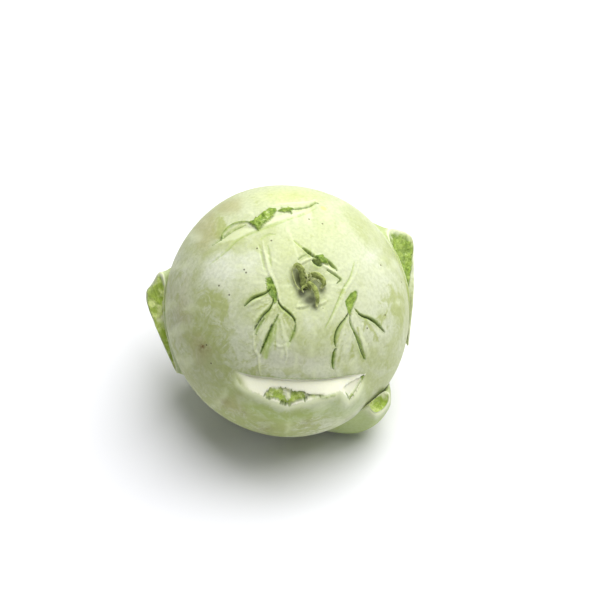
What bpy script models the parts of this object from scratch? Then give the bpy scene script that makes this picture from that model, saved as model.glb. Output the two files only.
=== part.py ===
"""Kohlrabi lying on its flank: swollen stem, leaf scars, cut stalk stubs and root, withered growing tip."""

import math

import bmesh
import bpy
import numpy as np
from mathutils import Vector, kdtree
from mathutils.geometry import delaunay_2d_cdt

# Sizes in millimetres
MM = 0.001
EQUATOR_RADIUS = 46.0
CROWN_HEIGHT = 39.0
ROOT_HEIGHT = 40.0
REST_DEPTH = 41.0
TALLER = 0.8
FULLER = 0.9
FULLER_WAY = (-0.6, 0.8)
LUMP_HEIGHT = 0.3
LUMP_TURNS = (5.1, 4.3, 4.7)
LUMP_STARTS = (1.0, 0.4, 2.0)

# The face side is looked at from this height and distance, and places on it are millimetres right and up
FACE_ELEVATION = math.radians(45.0)
FACE_DISTANCE = 900.0
CROWN_LEAN = (0.192, 0.256, 0.947)
FIRST_DEPTH = 32.0
DEPTH_ROUNDS = 24

# Spacing of the surface points
FINE = 1.25
COARSE = 3.9
SPACING_GROWTH = 0.42
FINE_REACH = 1.2
ROW_SPACING_SHARE = 0.75
CANDIDATE_SPACING = 1.05
LOOP_CLEARANCE = (2.2, 2.2, 2.0, 2.2)
REST_POINTS = 22
REST_ROUNDS = 30
LINE_CURVE_STEPS = 3
GOLDEN_ANGLE = math.pi * (3.0 - math.sqrt(5.0))

# Growing tip
TIP_PLACE = (7.6, 9.8)
TIP_HOLLOW_DEPTH = 2.4
TIP_HOLLOW_RADIUS = 6.5
CROWN_DIP_DEPTH = 1.0
CROWN_DIP_RADIUS = 17.0
TUFT_GAP = 0.34

# Broad cut scar low on the face side
CREASE_DEPTH = 0.9
CREASE_WIDTH = 0.9
BROW_RISE = 0.5
BROW_PLACE = 3.0
BROW_WIDTH = 2.5
LIP_RISE = 3.0
LIP_EDGE_SHARE = 0.9
LIP_ROUND = 2.0
LIP_REACH = 8.0
TORN_DEPTH = 0.9
TORN_TURNS = (2.1, 2.7)
SLAB_DEPTH = 0.8
SHELF_FADE = 0.16
CREASE = (
    (-20.8, -21.9), (-14.6, -24.1), (-9.0, -24.9), (-1.4, -25.7),
    (7.1, -26.0), (15.2, -25.6), (21.6, -24.6), (28.9, -23.4),
)
LIP = (
    (-20.8, -21.9), (-17.6, -26.2), (-13.3, -28.1), (-9.0, -29.9), (-4.8, -31.8), (0.3, -33.4),
    (4.4, -32.3), (8.9, -31.2), (13.7, -29.6), (18.4, -28.2), (21.6, -31.4), (25.4, -28.0), (28.9, -23.4),
)
TORN = (
    (-10.0, -28.8), (-5.5, -28.0), (0.5, -28.3), (6.0, -28.9), (13.4, -29.2),
    (8.0, -30.8), (3.6, -31.6), (0.4, -32.6), (-4.6, -31.0),
)
SLAB = ((19.8, -28.0), (28.2, -24.2), (24.8, -27.9), (21.6, -30.8))

# Leaf scars near the crown: half width, height, then places from end to end
LEFT_SCAR = (
    (0.8, 0.45, ((-9.4, 27.0), (-9.0, 23.4), (-8.1, 19.5), (-7.0, 14.9), (-5.2, 11.0), (-3.7, 7.0))),
    (0.8, -1.1, ((-6.4, 8.6), (-9.0, 6.4), (-12.7, 4.9), (-16.6, 1.4))),
    (0.8, -1.0, ((-5.4, 5.0), (-7.2, 0.4), (-9.3, -1.7), (-11.7, -5.2), (-12.8, -7.5))),
    (0.8, 0.35, ((-12.9, -7.6), (-12.4, -14.2), (-10.9, -16.8), (-9.6, -24.2))),
    (1.0, -0.9, ((-3.3, -0.6), (-5.3, -4.7), (-7.6, -10.0), (-10.1, -16.4))),
    (0.8, -1.0, (
        (-3.9, 4.6), (-2.2, 1.2), (0.0, -0.6), (2.1, -2.8), (2.9, -5.0), (2.3, -8.0), (0.6, -11.6),
    )),
)
RIGHT_SCAR = (
    (0.8, 0.35, ((26.6, 19.6), (24.4, 12.2), (21.7, 8.0), (19.6, 2.7), (14.4, -7.8))),
    (0.8, -1.0, ((22.6, -0.6), (19.9, -4.7), (18.1, -7.7), (17.4, -11.2), (17.9, -13.8), (16.8, -21.6))),
    (0.8, -1.0, ((22.9, 0.2), (23.5, -5.2), (25.2, -8.4), (27.7, -14.7), (28.9, -18.4))),
    (0.8, -1.0, ((24.6, 1.4), (26.9, -1.5), (30.6, -3.1), (33.3, -5.2), (36.2, -8.2))),
)
UPPER_SCAR = (
    (0.7, -0.9, ((3.0, 25.6), (6.0, 23.3), (9.2, 21.0), (11.4, 19.6))),
    (0.7, -1.1, ((9.6, 18.8), (11.2, 17.5), (13.2, 16.6))),
    (0.6, -0.9, ((14.2, 19.6), (16.3, 17.4), (18.9, 15.0))),
    (0.6, -0.8, ((12.9, 17.0), (15.2, 15.0), (17.6, 13.7), (19.7, 12.0), (18.2, 10.2))),
)
TOP_SCAR = (
    (1.2, -0.7, (
        (-22.6, 22.5), (-17.8, 26.7), (-12.7, 29.4), (-6.1, 32.0), (0.5, 34.3), (6.7, 36.3), (11.9, 38.9),
    )),
    (0.7, 0.6, ((-12.9, 33.3), (-15.7, 32.8), (-20.0, 32.0), (-23.0, 29.3), (-25.0, 26.2))),
    (0.7, -0.5, ((-14.2, 31.4), (-19.4, 30.2), (-22.7, 28.4), (-27.6, 24.4))),
    (0.8, -0.5, ((2.6, 37.4), (7.7, 38.7), (11.6, 39.7))),
    (1.0, 0.6, ((-6.1, 38.9), (0.7, 39.6), (8.4, 40.9))),
)
TIP_FOLDS = (
    (0.7, 0.45, ((2.6, 1.6), (5.8, 1.8), (8.9, 2.6))),
    (0.7, 0.45, ((11.0, 2.4), (12.8, 3.0), (15.0, 4.3))),
    (0.6, 0.45, ((3.8, 17.3), (7.0, 19.3), (9.8, 20.0))),
)
FRONT_LINES = LEFT_SCAR + RIGHT_SCAR + UPPER_SCAR + TOP_SCAR + TIP_FOLDS
BANK_SHARE = 0.28
BANK_PLACE = 2.2
ROW_OFFSET = 1.54
LINE_FADE = 0.14

# Torn pith at the scars: height, then outline places
PITH_AREAS = (
    (-0.4, ((-8.4, 13.0), (-6.0, 13.2), (-4.6, 10.0), (-3.8, 4.0), (-4.9, 2.0), (-7.8, 7.2))),
    (-0.4, (
        (21.2, 3.8), (23.2, 6.9), (25.3, 8.2), (26.2, 7.2),
        (25.9, 4.4), (24.5, 1.4), (23.3, -2.0), (22.3, -1.0),
    )),
    (0.6, ((10.0, 21.0), (13.0, 21.5), (14.8, 19.6), (15.6, 17.2), (12.4, 17.8))),
    (0.8, (
        (-14.2, 32.4), (-11.5, 35.0), (-8.4, 37.2), (-4.9, 38.2), (-4.0, 36.8), (-5.4, 34.8), (-10.6, 30.6),
    )),
    (0.4, ((-3.6, 37.0), (-1.0, 38.0), (2.2, 38.2), (2.6, 37.3), (-0.7, 36.6))),
)
PITH_EDGE = 1.3

# Scars of the same kinds on the hidden side: the place each is modelled at, and the way it is moved to
CLAW_PLACE = (-6.0, 2.0)
BACK_CLAW_MIDDLE = (-0.62, 0.45, -0.64)
SHELF_PLACE = (4.0, -28.0)
BACK_SHELF_MIDDLE = (0.12, 0.85, -0.51)

# Stalk stubs: middle of the base, its long way, half sizes, way the stub points, and eight rim places
# The swell is how far the wall leaves the skin sideways from the stalk instead of in a hollow curve
# All of them are right, up and towards the viewer
# The rim starts at the long way's end and turns to the crown
LEFT_STUB = {
    "middle": (-0.966, -0.100, -0.250),
    "long_way": (0.0, 1.0, 0.0),
    "half_sizes": (26.2, 11.0),
    "points": (-0.42, 0.10, 0.90),
    "hollow": 0.8,
    "swell": 0.12,
    "rim": (
        (-47.4, 14.6, -3.2), (-45.6, 9.6, -1.8), (-46.3, 1.0, -1.2), (-44.9, -9.6, -2.4),
        (-41.6, -23.0, -6.6), (-48.6, -7.6, -5.8), (-53.0, 5.0, -6.0), (-50.4, 10.8, -4.8),
    ),
}
RIGHT_STUB = {
    "middle": (0.905, 0.285, -0.270),
    "long_way": (-0.36, 0.93, 0.0),
    "half_sizes": (27.6, 11.0),
    "points": (0.30, 0.26, 0.92),
    "hollow": 0.7,
    "swell": 0.12,
    "rim": (
        (38.4, 30.8, -7.2), (37.7, 26.6, -4.4), (41.7, 18.6, -3.8), (45.3, 4.8, -3.2),
        (44.8, -13.0, -6.0), (46.8, 4.4, -6.2), (47.0, 18.6, -8.8), (46.2, 27.8, -10.0),
    ),
}
LOWER_STUB = {
    "middle": (0.560, -0.806, -0.190),
    "long_way": (0.83, 0.55, 0.0),
    "half_sizes": (17.5, 12.0),
    "points": (-0.12, 0.26, 0.95),
    "hollow": 1.6,
    "swell": 0.47,
    "rim": (
        (37.2, -30.6, 8.4), (35.0, -29.6, 10.4), (32.1, -31.6, 12.0), (29.6, -33.8, 13.2),
        (29.6, -35.6, 13.4), (31.8, -37.6, 12.4), (34.4, -36.6, 10.6), (36.9, -33.6, 8.8),
    ),
}
STUBS = (LEFT_STUB, RIGHT_STUB, LOWER_STUB)
STUB_SECTORS = 32
WALL_RINGS = 7
FLARE_START = 0.40
FLARE_END = 0.42
AXIL_SHARE = 0.3
AXIL_LIFT = 0.7
AXIL_STEEPNESS = 0.8
CUT_RINGS = ((0.90, 0.35), (0.74, -0.25), (0.5, -0.75), (0.25, -0.95))
TEAR_HEIGHT = 0.18
TEAR_WAVES = ((5.0, 9.0), (11.0, 4.0))

# Cut root
ROOT_BASE_RADIUS = 14.5
ROOT_RADIUS = 11.2
ROOT_REACH = 41.9
ROOT_SECTORS = 30
ROOT_WALL_RINGS = 4
ROOT_RINGS = ((0.90, 0.4), (0.66, 0.25), (0.4, 0.45), (0.18, 0.55))

# Withered leaf remnants: half width, thickness, then places right and up with the height over the hollow
TUFT_LEAVES = (
    (1.2, 1.1, ((6.3, 9.4, 1.4), (5.8, 12.2, 2.2), (4.9, 14.8, 2.6), (3.3, 16.6, 2.3), (1.7, 15.6, 1.4))),
    (1.1, 1.1, ((6.9, 10.2, 1.2), (7.3, 12.0, 2.4), (6.7, 13.4, 2.9), (6.0, 15.2, 2.9))),
    (1.1, 1.0, ((7.0, 12.2, 1.2), (9.0, 13.4, 2.4), (11.6, 12.4, 2.8), (13.0, 10.2, 2.2), (12.4, 8.2, 1.4))),
    (1.0, 1.0, ((7.0, 11.8, 1.2), (8.8, 10.2, 2.5), (10.2, 7.6, 2.9), (10.8, 4.3, 2.3), (10.6, 1.6, 1.3))),
    (0.9, 0.9, ((5.6, 10.2, 1.0), (5.0, 8.6, 1.7), (6.2, 6.8, 1.9), (8.4, 6.4, 2.0), (9.6, 8.2, 2.0))),
)
CUSHION_PLACE = (6.9, 10.9)
CUSHION_RADIUS = 2.7
CUSHION_THICKNESS = 1.5
CUSHION_SECTORS = 18
CUSHION_LAYERS = ((0.5, 0.0), (0.9, 0.1), (1.0, 0.45), (0.85, 0.8), (0.45, 1.0))
CUSHION_TOP = 1.05
LEAF_SECTORS = 8
LEAF_STEPS = 4
LEAF_TIP_SHARE = 0.45
LEAF_END = 0.22

# Colours
SKIN_COLOUR = (0.62, 0.70, 0.42, 1.0)
WITHERED_COLOUR = (0.33, 0.40, 0.19, 1.0)
SKIN_ROUGHNESS = 0.55
WITHERED_ROUGHNESS = 0.8
SHARP_ANGLE = math.radians(55.0)


def unit(vectors):
    vectors = np.asarray(vectors, float)
    return vectors / np.linalg.norm(vectors, axis=-1, keepdims=True)


# Columns: right, up and towards the viewer of the face side
FACE = np.array(
    (
        (1.0, 0.0, 0.0),
        (0.0, math.sin(FACE_ELEVATION), -math.cos(FACE_ELEVATION)),
        (0.0, math.cos(FACE_ELEVATION), math.sin(FACE_ELEVATION)),
    )
)
CROWN = FACE @ unit(CROWN_LEAN)


def standing_frame(direction):
    """Axes at a place on the skin: along the skin to the crown, across, and outwards."""
    upwards = unit(CROWN - direction * (CROWN @ direction))
    return np.stack([upwards, np.cross(upwards, direction), direction], axis=1)


def turn_between(place, middle):
    """Matrix moving a place on the face side to another direction, keeping its way to the crown."""
    return standing_frame(FACE @ unit(middle)) @ standing_frame(directions_at(place)).T


def smooth(value):
    value = np.clip(value, 0.0, 1.0)
    return value * value * (3.0 - 2.0 * value)


def bell(distance, width):
    return np.exp(-((distance / width) ** 2))


def base_radius(directions):
    """Distance from the middle to the skin, before scars."""
    along = directions @ CROWN
    polar = np.where(along > 0.0, CROWN_HEIGHT, ROOT_HEIGHT)
    radius = 1.0 / np.sqrt((1.0 - along**2) / EQUATOR_RADIUS**2 + along**2 / polar**2)
    face = directions @ FACE
    radius = radius + TALLER * (face[..., 1] ** 2 - face[..., 0] ** 2)
    radius = radius + FULLER * np.clip(face[..., :2] @ np.array(FULLER_WAY), 0.0, 1.0) ** 2
    waves = np.prod(np.sin(face * np.array(LUMP_TURNS) + np.array(LUMP_STARTS)), axis=-1)
    return radius + LUMP_HEIGHT * waves


def directions_at(places):
    """Directions from the middle to places seen on the face side."""
    places = np.asarray(places, float)
    depth = np.full(places.shape[:-1], FIRST_DEPTH)
    for _ in range(DEPTH_ROUNDS):
        flat = places * (1.0 - depth / FACE_DISTANCE)[..., None]
        directions = unit(np.concatenate([flat, depth[..., None]], axis=-1)) @ FACE.T
        out = base_radius(directions)
        depth = 0.5 * depth + 0.5 * np.sqrt(np.maximum(out**2 - (flat**2).sum(axis=-1), 1.0))
    return directions


def seen_at(points):
    """Places of points as seen on the face side."""
    face = points @ FACE
    return face[:, :2] * (FACE_DISTANCE / (FACE_DISTANCE - face[:, 2:3]))


def curve_through(places, steps, closed=False):
    """Smooth row of points through the given ones."""
    places = np.asarray(places, float)
    count = len(places)
    spans = count if closed else count - 1
    found = []
    for i in range(spans):
        if closed:
            a, b, c, d = (places[(i + k) % count] for k in (-1, 0, 1, 2))
        else:
            b, c = places[i], places[i + 1]
            a = places[i - 1] if i else 2.0 * b - c
            d = places[i + 2] if i + 2 < count else 2.0 * c - b
        for k in range(steps):
            t = k / steps
            bend = (2.0 * a - 5.0 * b + 4.0 * c - d) * t**2 + (3.0 * b - a - 3.0 * c + d) * t**3
            found.append(b + 0.5 * ((c - a) * t + bend))
    if not closed:
        found.append(places[-1])
    return np.array(found)


def on_base(directions):
    return directions * base_radius(directions)[..., None]


def line_on_base(places, turn=None, steps=LINE_CURVE_STEPS):
    directions = directions_at(curve_through(places, steps))
    return on_base(directions if turn is None else directions @ turn.T)


def line_field(points, line):
    """Distance of each point to a line, its share along it, and its side (positive to the left)."""
    best = np.full(len(points), np.inf)
    share = np.zeros(len(points))
    side = np.zeros(len(points))
    lengths = np.linalg.norm(np.diff(line, axis=0), axis=1)
    starts = np.concatenate([[0.0], np.cumsum(lengths)])
    for i, length in enumerate(lengths):
        way = (line[i + 1] - line[i]) / length
        offset = points - line[i]
        along = np.clip(offset @ way, 0.0, length)
        gap = offset - along[:, None] * way
        distance = np.sqrt((gap * gap).sum(axis=1))
        nearer = distance < best
        best = np.where(nearer, distance, best)
        share = np.where(nearer, (starts[i] + along) / starts[-1], share)
        left = np.cross(line[i], way)
        side = np.where(nearer, np.sign(gap @ left), side)
    return best, share, side


def inside(places, outline):
    """Which places lie inside a closed outline."""
    outline = np.asarray(outline)
    found = np.zeros(len(places), bool)
    for (ax, ay), (bx, by) in zip(outline, np.roll(outline, -1, axis=0)):
        if ay == by:
            continue
        crosses = (ay > places[:, 1]) != (by > places[:, 1])
        found ^= crosses & (places[:, 0] < (bx - ax) * (places[:, 1] - ay) / (by - ay) + ax)
    return found


def faded(share, fade):
    return smooth(share / fade) * smooth((1.0 - share) / fade)


def line_relief(points, half_width, height, line):
    """A groove with low banks, or a ridge, along a line."""
    distance, share, _ = line_field(points, line)
    distance = distance / half_width
    banks = BANK_SHARE * bell(distance - BANK_PLACE, 1.0) if height < 0.0 else 0.0
    return height * (bell(distance, 1.0) - banks) * faded(share, LINE_FADE)


def area_relief(points, places, height, outline):
    """A raised or sunk area with sloping edges."""
    closed = outline + outline[:1]
    distance, _, _ = line_field(points, line_on_base(closed, steps=1))
    return np.where(inside(places, outline), height * smooth(distance / PITH_EDGE), 0.0)


def torn_waves(places):
    """Uneven height of torn pith, from -0.5 to 0.5."""
    return 0.5 * np.sin(TORN_TURNS[0] * places[:, 0]) * np.sin(TORN_TURNS[1] * places[:, 1] + 1.0)


def shelf_relief(directions):
    """The broad cut scar: a crease, a cut band rising to a lip, and the swelling below the lip."""
    points = on_base(directions)
    places = seen_at(points)
    crease, share, side = line_field(points, line_on_base(CREASE))
    lip, lip_share, _ = line_field(points, line_on_base(LIP, steps=1))
    within = inside(places, CREASE + LIP[-2:0:-1])
    ends = faded(share, SHELF_FADE)
    rise = (LIP_EDGE_SHARE * LIP_RISE + CREASE_DEPTH) * crease / np.maximum(crease + lip, 0.01)
    torn = np.where(inside(places, TORN), TORN_DEPTH * (1.0 + torn_waves(places)), 0.0)
    slab = np.where(inside(places, SLAB), SLAB_DEPTH, 0.0)
    band = ends * (rise - CREASE_DEPTH) - torn - slab
    brow = BROW_RISE * bell(crease - BROW_PLACE, BROW_WIDTH)
    above = ends * (brow - CREASE_DEPTH * bell(crease, CREASE_WIDTH))
    fullness = LIP_EDGE_SHARE + (1.0 - LIP_EDGE_SHARE) * smooth(lip / LIP_ROUND)
    under = LIP_RISE * faded(lip_share, SHELF_FADE) * fullness
    below = under * bell(np.maximum(lip - LIP_ROUND, 0.0), LIP_REACH)
    facing = directions @ FACE[:, 2] > 0.2
    return np.where(facing, np.where(within, band, np.where(side > 0.0, above, below)), 0.0)


def skin_radius(directions):
    """Distance from the middle to the skin, with all scars."""
    points = on_base(directions)
    places = seen_at(points)
    facing = directions @ FACE[:, 2] > 0.1
    radius = base_radius(directions)
    tip = on_base(directions_at(TIP_PLACE))
    from_tip = np.linalg.norm(points - tip, axis=1)
    radius = radius - TIP_HOLLOW_DEPTH * bell(from_tip, TIP_HOLLOW_RADIUS)
    radius = radius - CROWN_DIP_DEPTH * bell(from_tip, CROWN_DIP_RADIUS)
    for half_width, height, line_places in FRONT_LINES:
        radius = radius + line_relief(points, half_width, height, line_on_base(line_places))
    back = turn_between(CLAW_PLACE, BACK_CLAW_MIDDLE)
    for half_width, height, line_places in LEFT_SCAR:
        radius = radius + line_relief(points, half_width, height, line_on_base(line_places, back))
    for height, outline in PITH_AREAS:
        radius = radius + np.where(facing, area_relief(points, places, height, outline), 0.0)
    radius = radius + shelf_relief(directions)
    radius = radius + shelf_relief(directions @ turn_between(SHELF_PLACE, BACK_SHELF_MIDDLE))
    down = np.maximum(-directions[:, 2], 0.01)
    return np.minimum(radius, REST_DEPTH / down)


def on_skin(directions):
    return directions * skin_radius(directions)[:, None]


def evenly_along(line, spacing):
    """Points along a line at an even spacing."""
    lengths = np.linalg.norm(np.diff(line, axis=0), axis=1)
    starts = np.concatenate([[0.0], np.cumsum(lengths)])
    count = max(2, int(round(starts[-1] / spacing)) + 1)
    wanted = np.linspace(0.0, starts[-1], count)
    return np.stack([np.interp(wanted, starts, line[:, k]) for k in range(3)], axis=1)


def feature_lines():
    """Every line that gets its own row of points, with the offset of the rows beside it."""
    found = [(line_on_base(places), ROW_OFFSET * half_width) for half_width, _, places in FRONT_LINES]
    back = turn_between(CLAW_PLACE, BACK_CLAW_MIDDLE)
    found += [(line_on_base(places, back), ROW_OFFSET * half_width) for half_width, _, places in LEFT_SCAR]
    for turn in (np.eye(3), turn_between(SHELF_PLACE, BACK_SHELF_MIDDLE)):
        found.append((line_on_base(CREASE, turn), FINE))
        found.append((line_on_base(LIP, turn, steps=1), FINE))
    for _, outline in PITH_AREAS:
        found.append((line_on_base(outline + outline[:1], steps=1), 0.0))
    return found


def rest_circle():
    """Points where the skin meets the flat spot it rests on."""
    lowest = -CROWN * ROOT_HEIGHT**2 * CROWN[2]
    across = np.array((0.0, 0.0, 1.0)) - CROWN * CROWN[2]
    lowest = unit(-(EQUATOR_RADIUS**2) * across + lowest)
    side = unit(np.cross(lowest, (1.0, 0.0, 0.0)))
    other = np.cross(lowest, side)
    angles = np.linspace(0.0, 2.0 * math.pi, REST_POINTS, endpoint=False)
    ways = np.cos(angles)[:, None] * side + np.sin(angles)[:, None] * other
    near, far = np.zeros(len(angles)), np.full(len(angles), 0.5)
    for _ in range(REST_ROUNDS):
        middle = 0.5 * (near + far)
        directions = unit(lowest + np.tan(middle)[:, None] * ways)
        low = -base_radius(directions) * directions[:, 2] > REST_DEPTH
        near, far = np.where(low, middle, near), np.where(low, far, middle)
    return directions


def fibonacci_directions(spacing):
    count = int(4.0 * math.pi * EQUATOR_RADIUS**2 / (0.866 * spacing**2))
    step = np.arange(count) + 0.5
    height = 1.0 - 2.0 * step / count
    out = np.sqrt(1.0 - height**2)
    return np.stack([out * np.cos(step * GOLDEN_ANGLE), out * np.sin(step * GOLDEN_ANGLE), height], axis=1)


def surface_directions(loops, axes):
    """Directions of all free surface points: rows along the features first, then even filling."""
    lines = feature_lines()
    first = [rest_circle()]
    for line, offset in lines:
        row = evenly_along(line, FINE)
        ways = np.gradient(row, axis=0)
        beside = unit(np.cross(row, ways)) * offset
        first.append(unit(row))
        if offset > 0.0:
            first += [unit(row + beside), unit(row - beside)]
    first = np.concatenate(first)
    filling = fibonacci_directions(CANDIDATE_SPACING)
    directions = np.concatenate([first, filling])
    points = on_base(directions)
    spacing = np.full(len(points), COARSE)
    for line, offset in lines:
        distance, _, _ = line_field(points, line)
        wanted = FINE + SPACING_GROWTH * np.maximum(distance - offset - FINE_REACH, 0.0)
        spacing = np.minimum(spacing, wanted)
    from_tip = np.linalg.norm(points - on_base(directions_at(TIP_PLACE)), axis=1)
    spacing = np.minimum(spacing, FINE + SPACING_GROWTH * np.maximum(from_tip - TIP_HOLLOW_RADIUS, 0.0))
    spacing[: len(first)] *= ROW_SPACING_SHARE
    free = np.ones(len(points), bool)
    for loop, axis, reach in zip(loops, axes, LOOP_CLEARANCE):
        free &= ~in_loop(directions, loop, axis)
        for point in on_base(loop):
            free &= np.linalg.norm(points - point, axis=1) > reach
    return directions[thinned(points, spacing, free)]


def thinned(points, spacing, free):
    """Indices kept so that no two points are nearer than the wanted spacing."""
    tree = kdtree.KDTree(len(points))
    for i, point in enumerate(points):
        tree.insert(point, i)
    tree.balance()
    kept = []
    for i in range(len(points)):
        if not free[i]:
            continue
        kept.append(i)
        for _, j, distance in tree.find_range(points[i], spacing[i]):
            if distance < spacing[j]:
                free[j] = False
    return np.array(kept)


def plane_places(directions, axis):
    """Directions as places in a plane, seen from the far side of the axis."""
    side = unit(np.cross(axis, (0.0, 1.0, 0.3)))
    other = np.cross(axis, side)
    spread = 1.0 + directions @ axis
    return np.stack([directions @ side, directions @ other], axis=-1) / np.maximum(spread, 1e-6)[..., None]


def in_loop(directions, loop, axis):
    near = directions @ axis > 0.0
    return near & inside(plane_places(directions, axis), plane_places(loop, axis))


def ellipse_loop(middle, long_way, half_sizes, sectors):
    """Directions round an oval on the skin, starting at the long way's end and turning to the crown."""
    long_way = unit(long_way - middle * (long_way @ middle))
    short_way = np.cross(middle, long_way)
    if short_way @ CROWN < 0.0:
        short_way = -short_way
    angles = np.linspace(0.0, 2.0 * math.pi, sectors, endpoint=False)
    across = half_sizes[0] / EQUATOR_RADIUS * np.cos(angles)
    up = half_sizes[1] / EQUATOR_RADIUS * np.sin(angles)
    return unit(middle + across[:, None] * long_way + up[:, None] * short_way), angles


def stub_base(stub):
    middle = FACE @ unit(stub["middle"])
    long_way = FACE @ unit(stub["long_way"])
    loop, angles = ellipse_loop(middle, long_way, stub["half_sizes"], STUB_SECTORS)
    return loop, angles, middle


def wall_between(start, start_way, end_way, end, rings):
    """Rings of a curved wall, without its first and with its last ring."""
    found = []
    for k in range(1, rings + 1):
        t = k / rings
        s = 1.0 - t
        ring = s**3 * start + 3.0 * s**2 * t * (start + start_way)
        found.append(ring + 3.0 * s * t**2 * (end - end_way) + t**3 * end)
    return found


def stub_rings(stub):
    """Rings of a stalk stub from its base loop inwards, and its last point."""
    loop, angles, middle = stub_base(stub)
    start = on_skin(loop)
    rim = curve_through(stub["rim"], STUB_SECTORS // 8, closed=True) @ FACE.T
    points = FACE @ unit(stub["points"])
    length = np.linalg.norm(rim - start, axis=1)[:, None]
    inwards = unit(middle - loop * (loop @ middle)[:, None])
    sideways = unit(middle - points * (middle @ points))
    leaving = (1.0 - stub["swell"]) * FLARE_START * inwards + stub["swell"] * sideways
    axil = smooth(0.5 + AXIL_STEEPNESS * np.sin(angles))[:, None]
    chord = AXIL_SHARE * (rim - start)
    start_way = (1.0 - axil) * length * leaving + axil * (chord + AXIL_LIFT * loop)
    end_way = (1.0 - axil) * FLARE_END * length * points + axil * chord
    rings = wall_between(start, start_way, end_way, rim, WALL_RINGS)
    centre = rim.mean(axis=0)
    for share, depth in CUT_RINGS:
        ring = centre + share * (rim - centre)
        tears = sum(np.sin(turns * angles + slant * share) for turns, slant in TEAR_WAVES)
        lift = depth * stub["hollow"] + TEAR_HEIGHT * tears * (1.0 - share)
        rings.append(ring + lift[:, None] * points)
    return rings, centre - stub["hollow"] * points


def root_base():
    middle = -CROWN
    half = (ROOT_BASE_RADIUS, ROOT_BASE_RADIUS)
    loop, _ = ellipse_loop(middle, FACE[:, 0], half, ROOT_SECTORS)
    return loop, middle


def root_rings():
    """Rings of the cut root from its base loop inwards, and its last point."""
    loop, middle = root_base()
    start = on_skin(loop)
    outwards = unit(loop - middle * (loop @ middle)[:, None])
    rim = ROOT_REACH * middle + ROOT_RADIUS * outwards
    length = np.linalg.norm(rim - start, axis=1)[:, None]
    inwards = -unit(outwards - loop * (outwards * loop).sum(axis=1)[:, None])
    rings = wall_between(start, 0.5 * length * inwards, 0.5 * length * middle, rim, ROOT_WALL_RINGS)
    centre = ROOT_REACH * middle
    for share, rise in ROOT_RINGS:
        rings.append(centre + share * ROOT_RADIUS * outwards + rise * middle)
    return rings, centre + ROOT_RINGS[-1][1] * middle


def stem_triangles(directions, loops):
    """Triangles over the whole skin, leaving the stub and root bases open."""
    places = plane_places(directions, CROWN)
    edges = []
    owner = np.full(len(directions), -1)
    start = 0
    for number, loop in enumerate(loops):
        count = len(loop)
        edges += [(start + k, start + (k + 1) % count) for k in range(count)]
        owner[start : start + count] = number
        start += count
    flat = [Vector(place) for place in places]
    made = delaunay_2d_cdt(flat, edges, [], 0, 1e-9)
    origin = [indices[0] for indices in made[3]]
    triangles = np.array([[origin[k] for k in face] for face in made[2]])
    owners = owner[triangles]
    same = (owners[:, 0] >= 0) & (owners[:, 0] == owners[:, 1]) & (owners[:, 1] == owners[:, 2])
    drop = np.zeros(len(triangles), bool)
    middles = unit(directions[triangles].sum(axis=1))
    for number, loop in enumerate(loops):
        axis = unit(loop.mean(axis=0))
        drop |= same & (owners[:, 0] == number) & in_loop(middles, loop, axis)
    return triangles[~drop]


def bridge(outer, inner):
    """Triangles between two rings of indices."""
    count = len(outer)
    found = []
    for k in range(count):
        following = (k + 1) % count
        found.append((outer[k], outer[following], inner[following]))
        found.append((outer[k], inner[following], inner[k]))
    return found


def stem_mesh():
    """Points and triangles of the swollen stem."""
    bases = [stub_base(stub) for stub in STUBS]
    root_loop, root_middle = root_base()
    loops = [base[0] for base in bases] + [root_loop]
    axes = [base[2] for base in bases] + [root_middle]
    free = surface_directions(loops, axes)
    directions = np.concatenate(loops + [free])
    points = [on_skin(directions)]
    triangles = [tuple(face) for face in stem_triangles(directions, loops)]
    total = len(directions)
    start = 0
    patches = [stub_rings(stub) for stub in STUBS] + [root_rings()]
    for loop, (rings, last) in zip(loops, patches):
        outer = list(range(start, start + len(loop)))
        start += len(loop)
        for ring in rings:
            inner = list(range(total, total + len(ring)))
            triangles += bridge(outer, inner)
            points.append(ring)
            total += len(ring)
            outer = inner
        points.append(last[None, :])
        triangles += [(outer[k], outer[(k + 1) % len(outer)], total) for k in range(len(outer))]
        total += 1
    points = np.concatenate(points)
    points[:, 2] = np.maximum(points[:, 2], -REST_DEPTH)
    return points, triangles


def rest_middle():
    """Middle of the flat spot that the stem rests on."""
    middle = on_base(rest_circle()).mean(axis=0)
    return np.array((middle[0], middle[1], -REST_DEPTH))


def hollow_points(places, heights):
    """Points over the skin of the hollow at the growing tip."""
    directions = directions_at(places)
    return directions * (skin_radius(directions) + heights)[:, None]


def cushion_mesh():
    """Low cushion that joins the withered leaves."""
    angles = np.linspace(0.0, 2.0 * math.pi, CUSHION_SECTORS, endpoint=False)
    circle = np.stack([np.cos(angles), np.sin(angles)], axis=1)
    points = [hollow_points(np.array([CUSHION_PLACE]), np.array([TUFT_GAP]))]
    for share, height in CUSHION_LAYERS:
        places = np.array(CUSHION_PLACE) + share * CUSHION_RADIUS * circle
        points.append(hollow_points(places, np.full(len(places), TUFT_GAP + height * CUSHION_THICKNESS)))
    top = TUFT_GAP + CUSHION_TOP * CUSHION_THICKNESS
    points.append(hollow_points(np.array([CUSHION_PLACE]), np.array([top])))
    return fan_capped(points)


def fan_capped(parts):
    """Triangles over rings closed by a single point at both ends."""
    triangles = []
    count = len(parts[1])
    outer = list(range(1, 1 + count))
    triangles += [(0, outer[(k + 1) % count], outer[k]) for k in range(count)]
    total = 1 + count
    for ring in parts[2:-1]:
        inner = list(range(total, total + count))
        triangles += bridge(outer, inner)
        total += count
        outer = inner
    triangles += [(outer[k], outer[(k + 1) % count], total) for k in range(count)]
    return np.concatenate(parts), triangles


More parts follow.
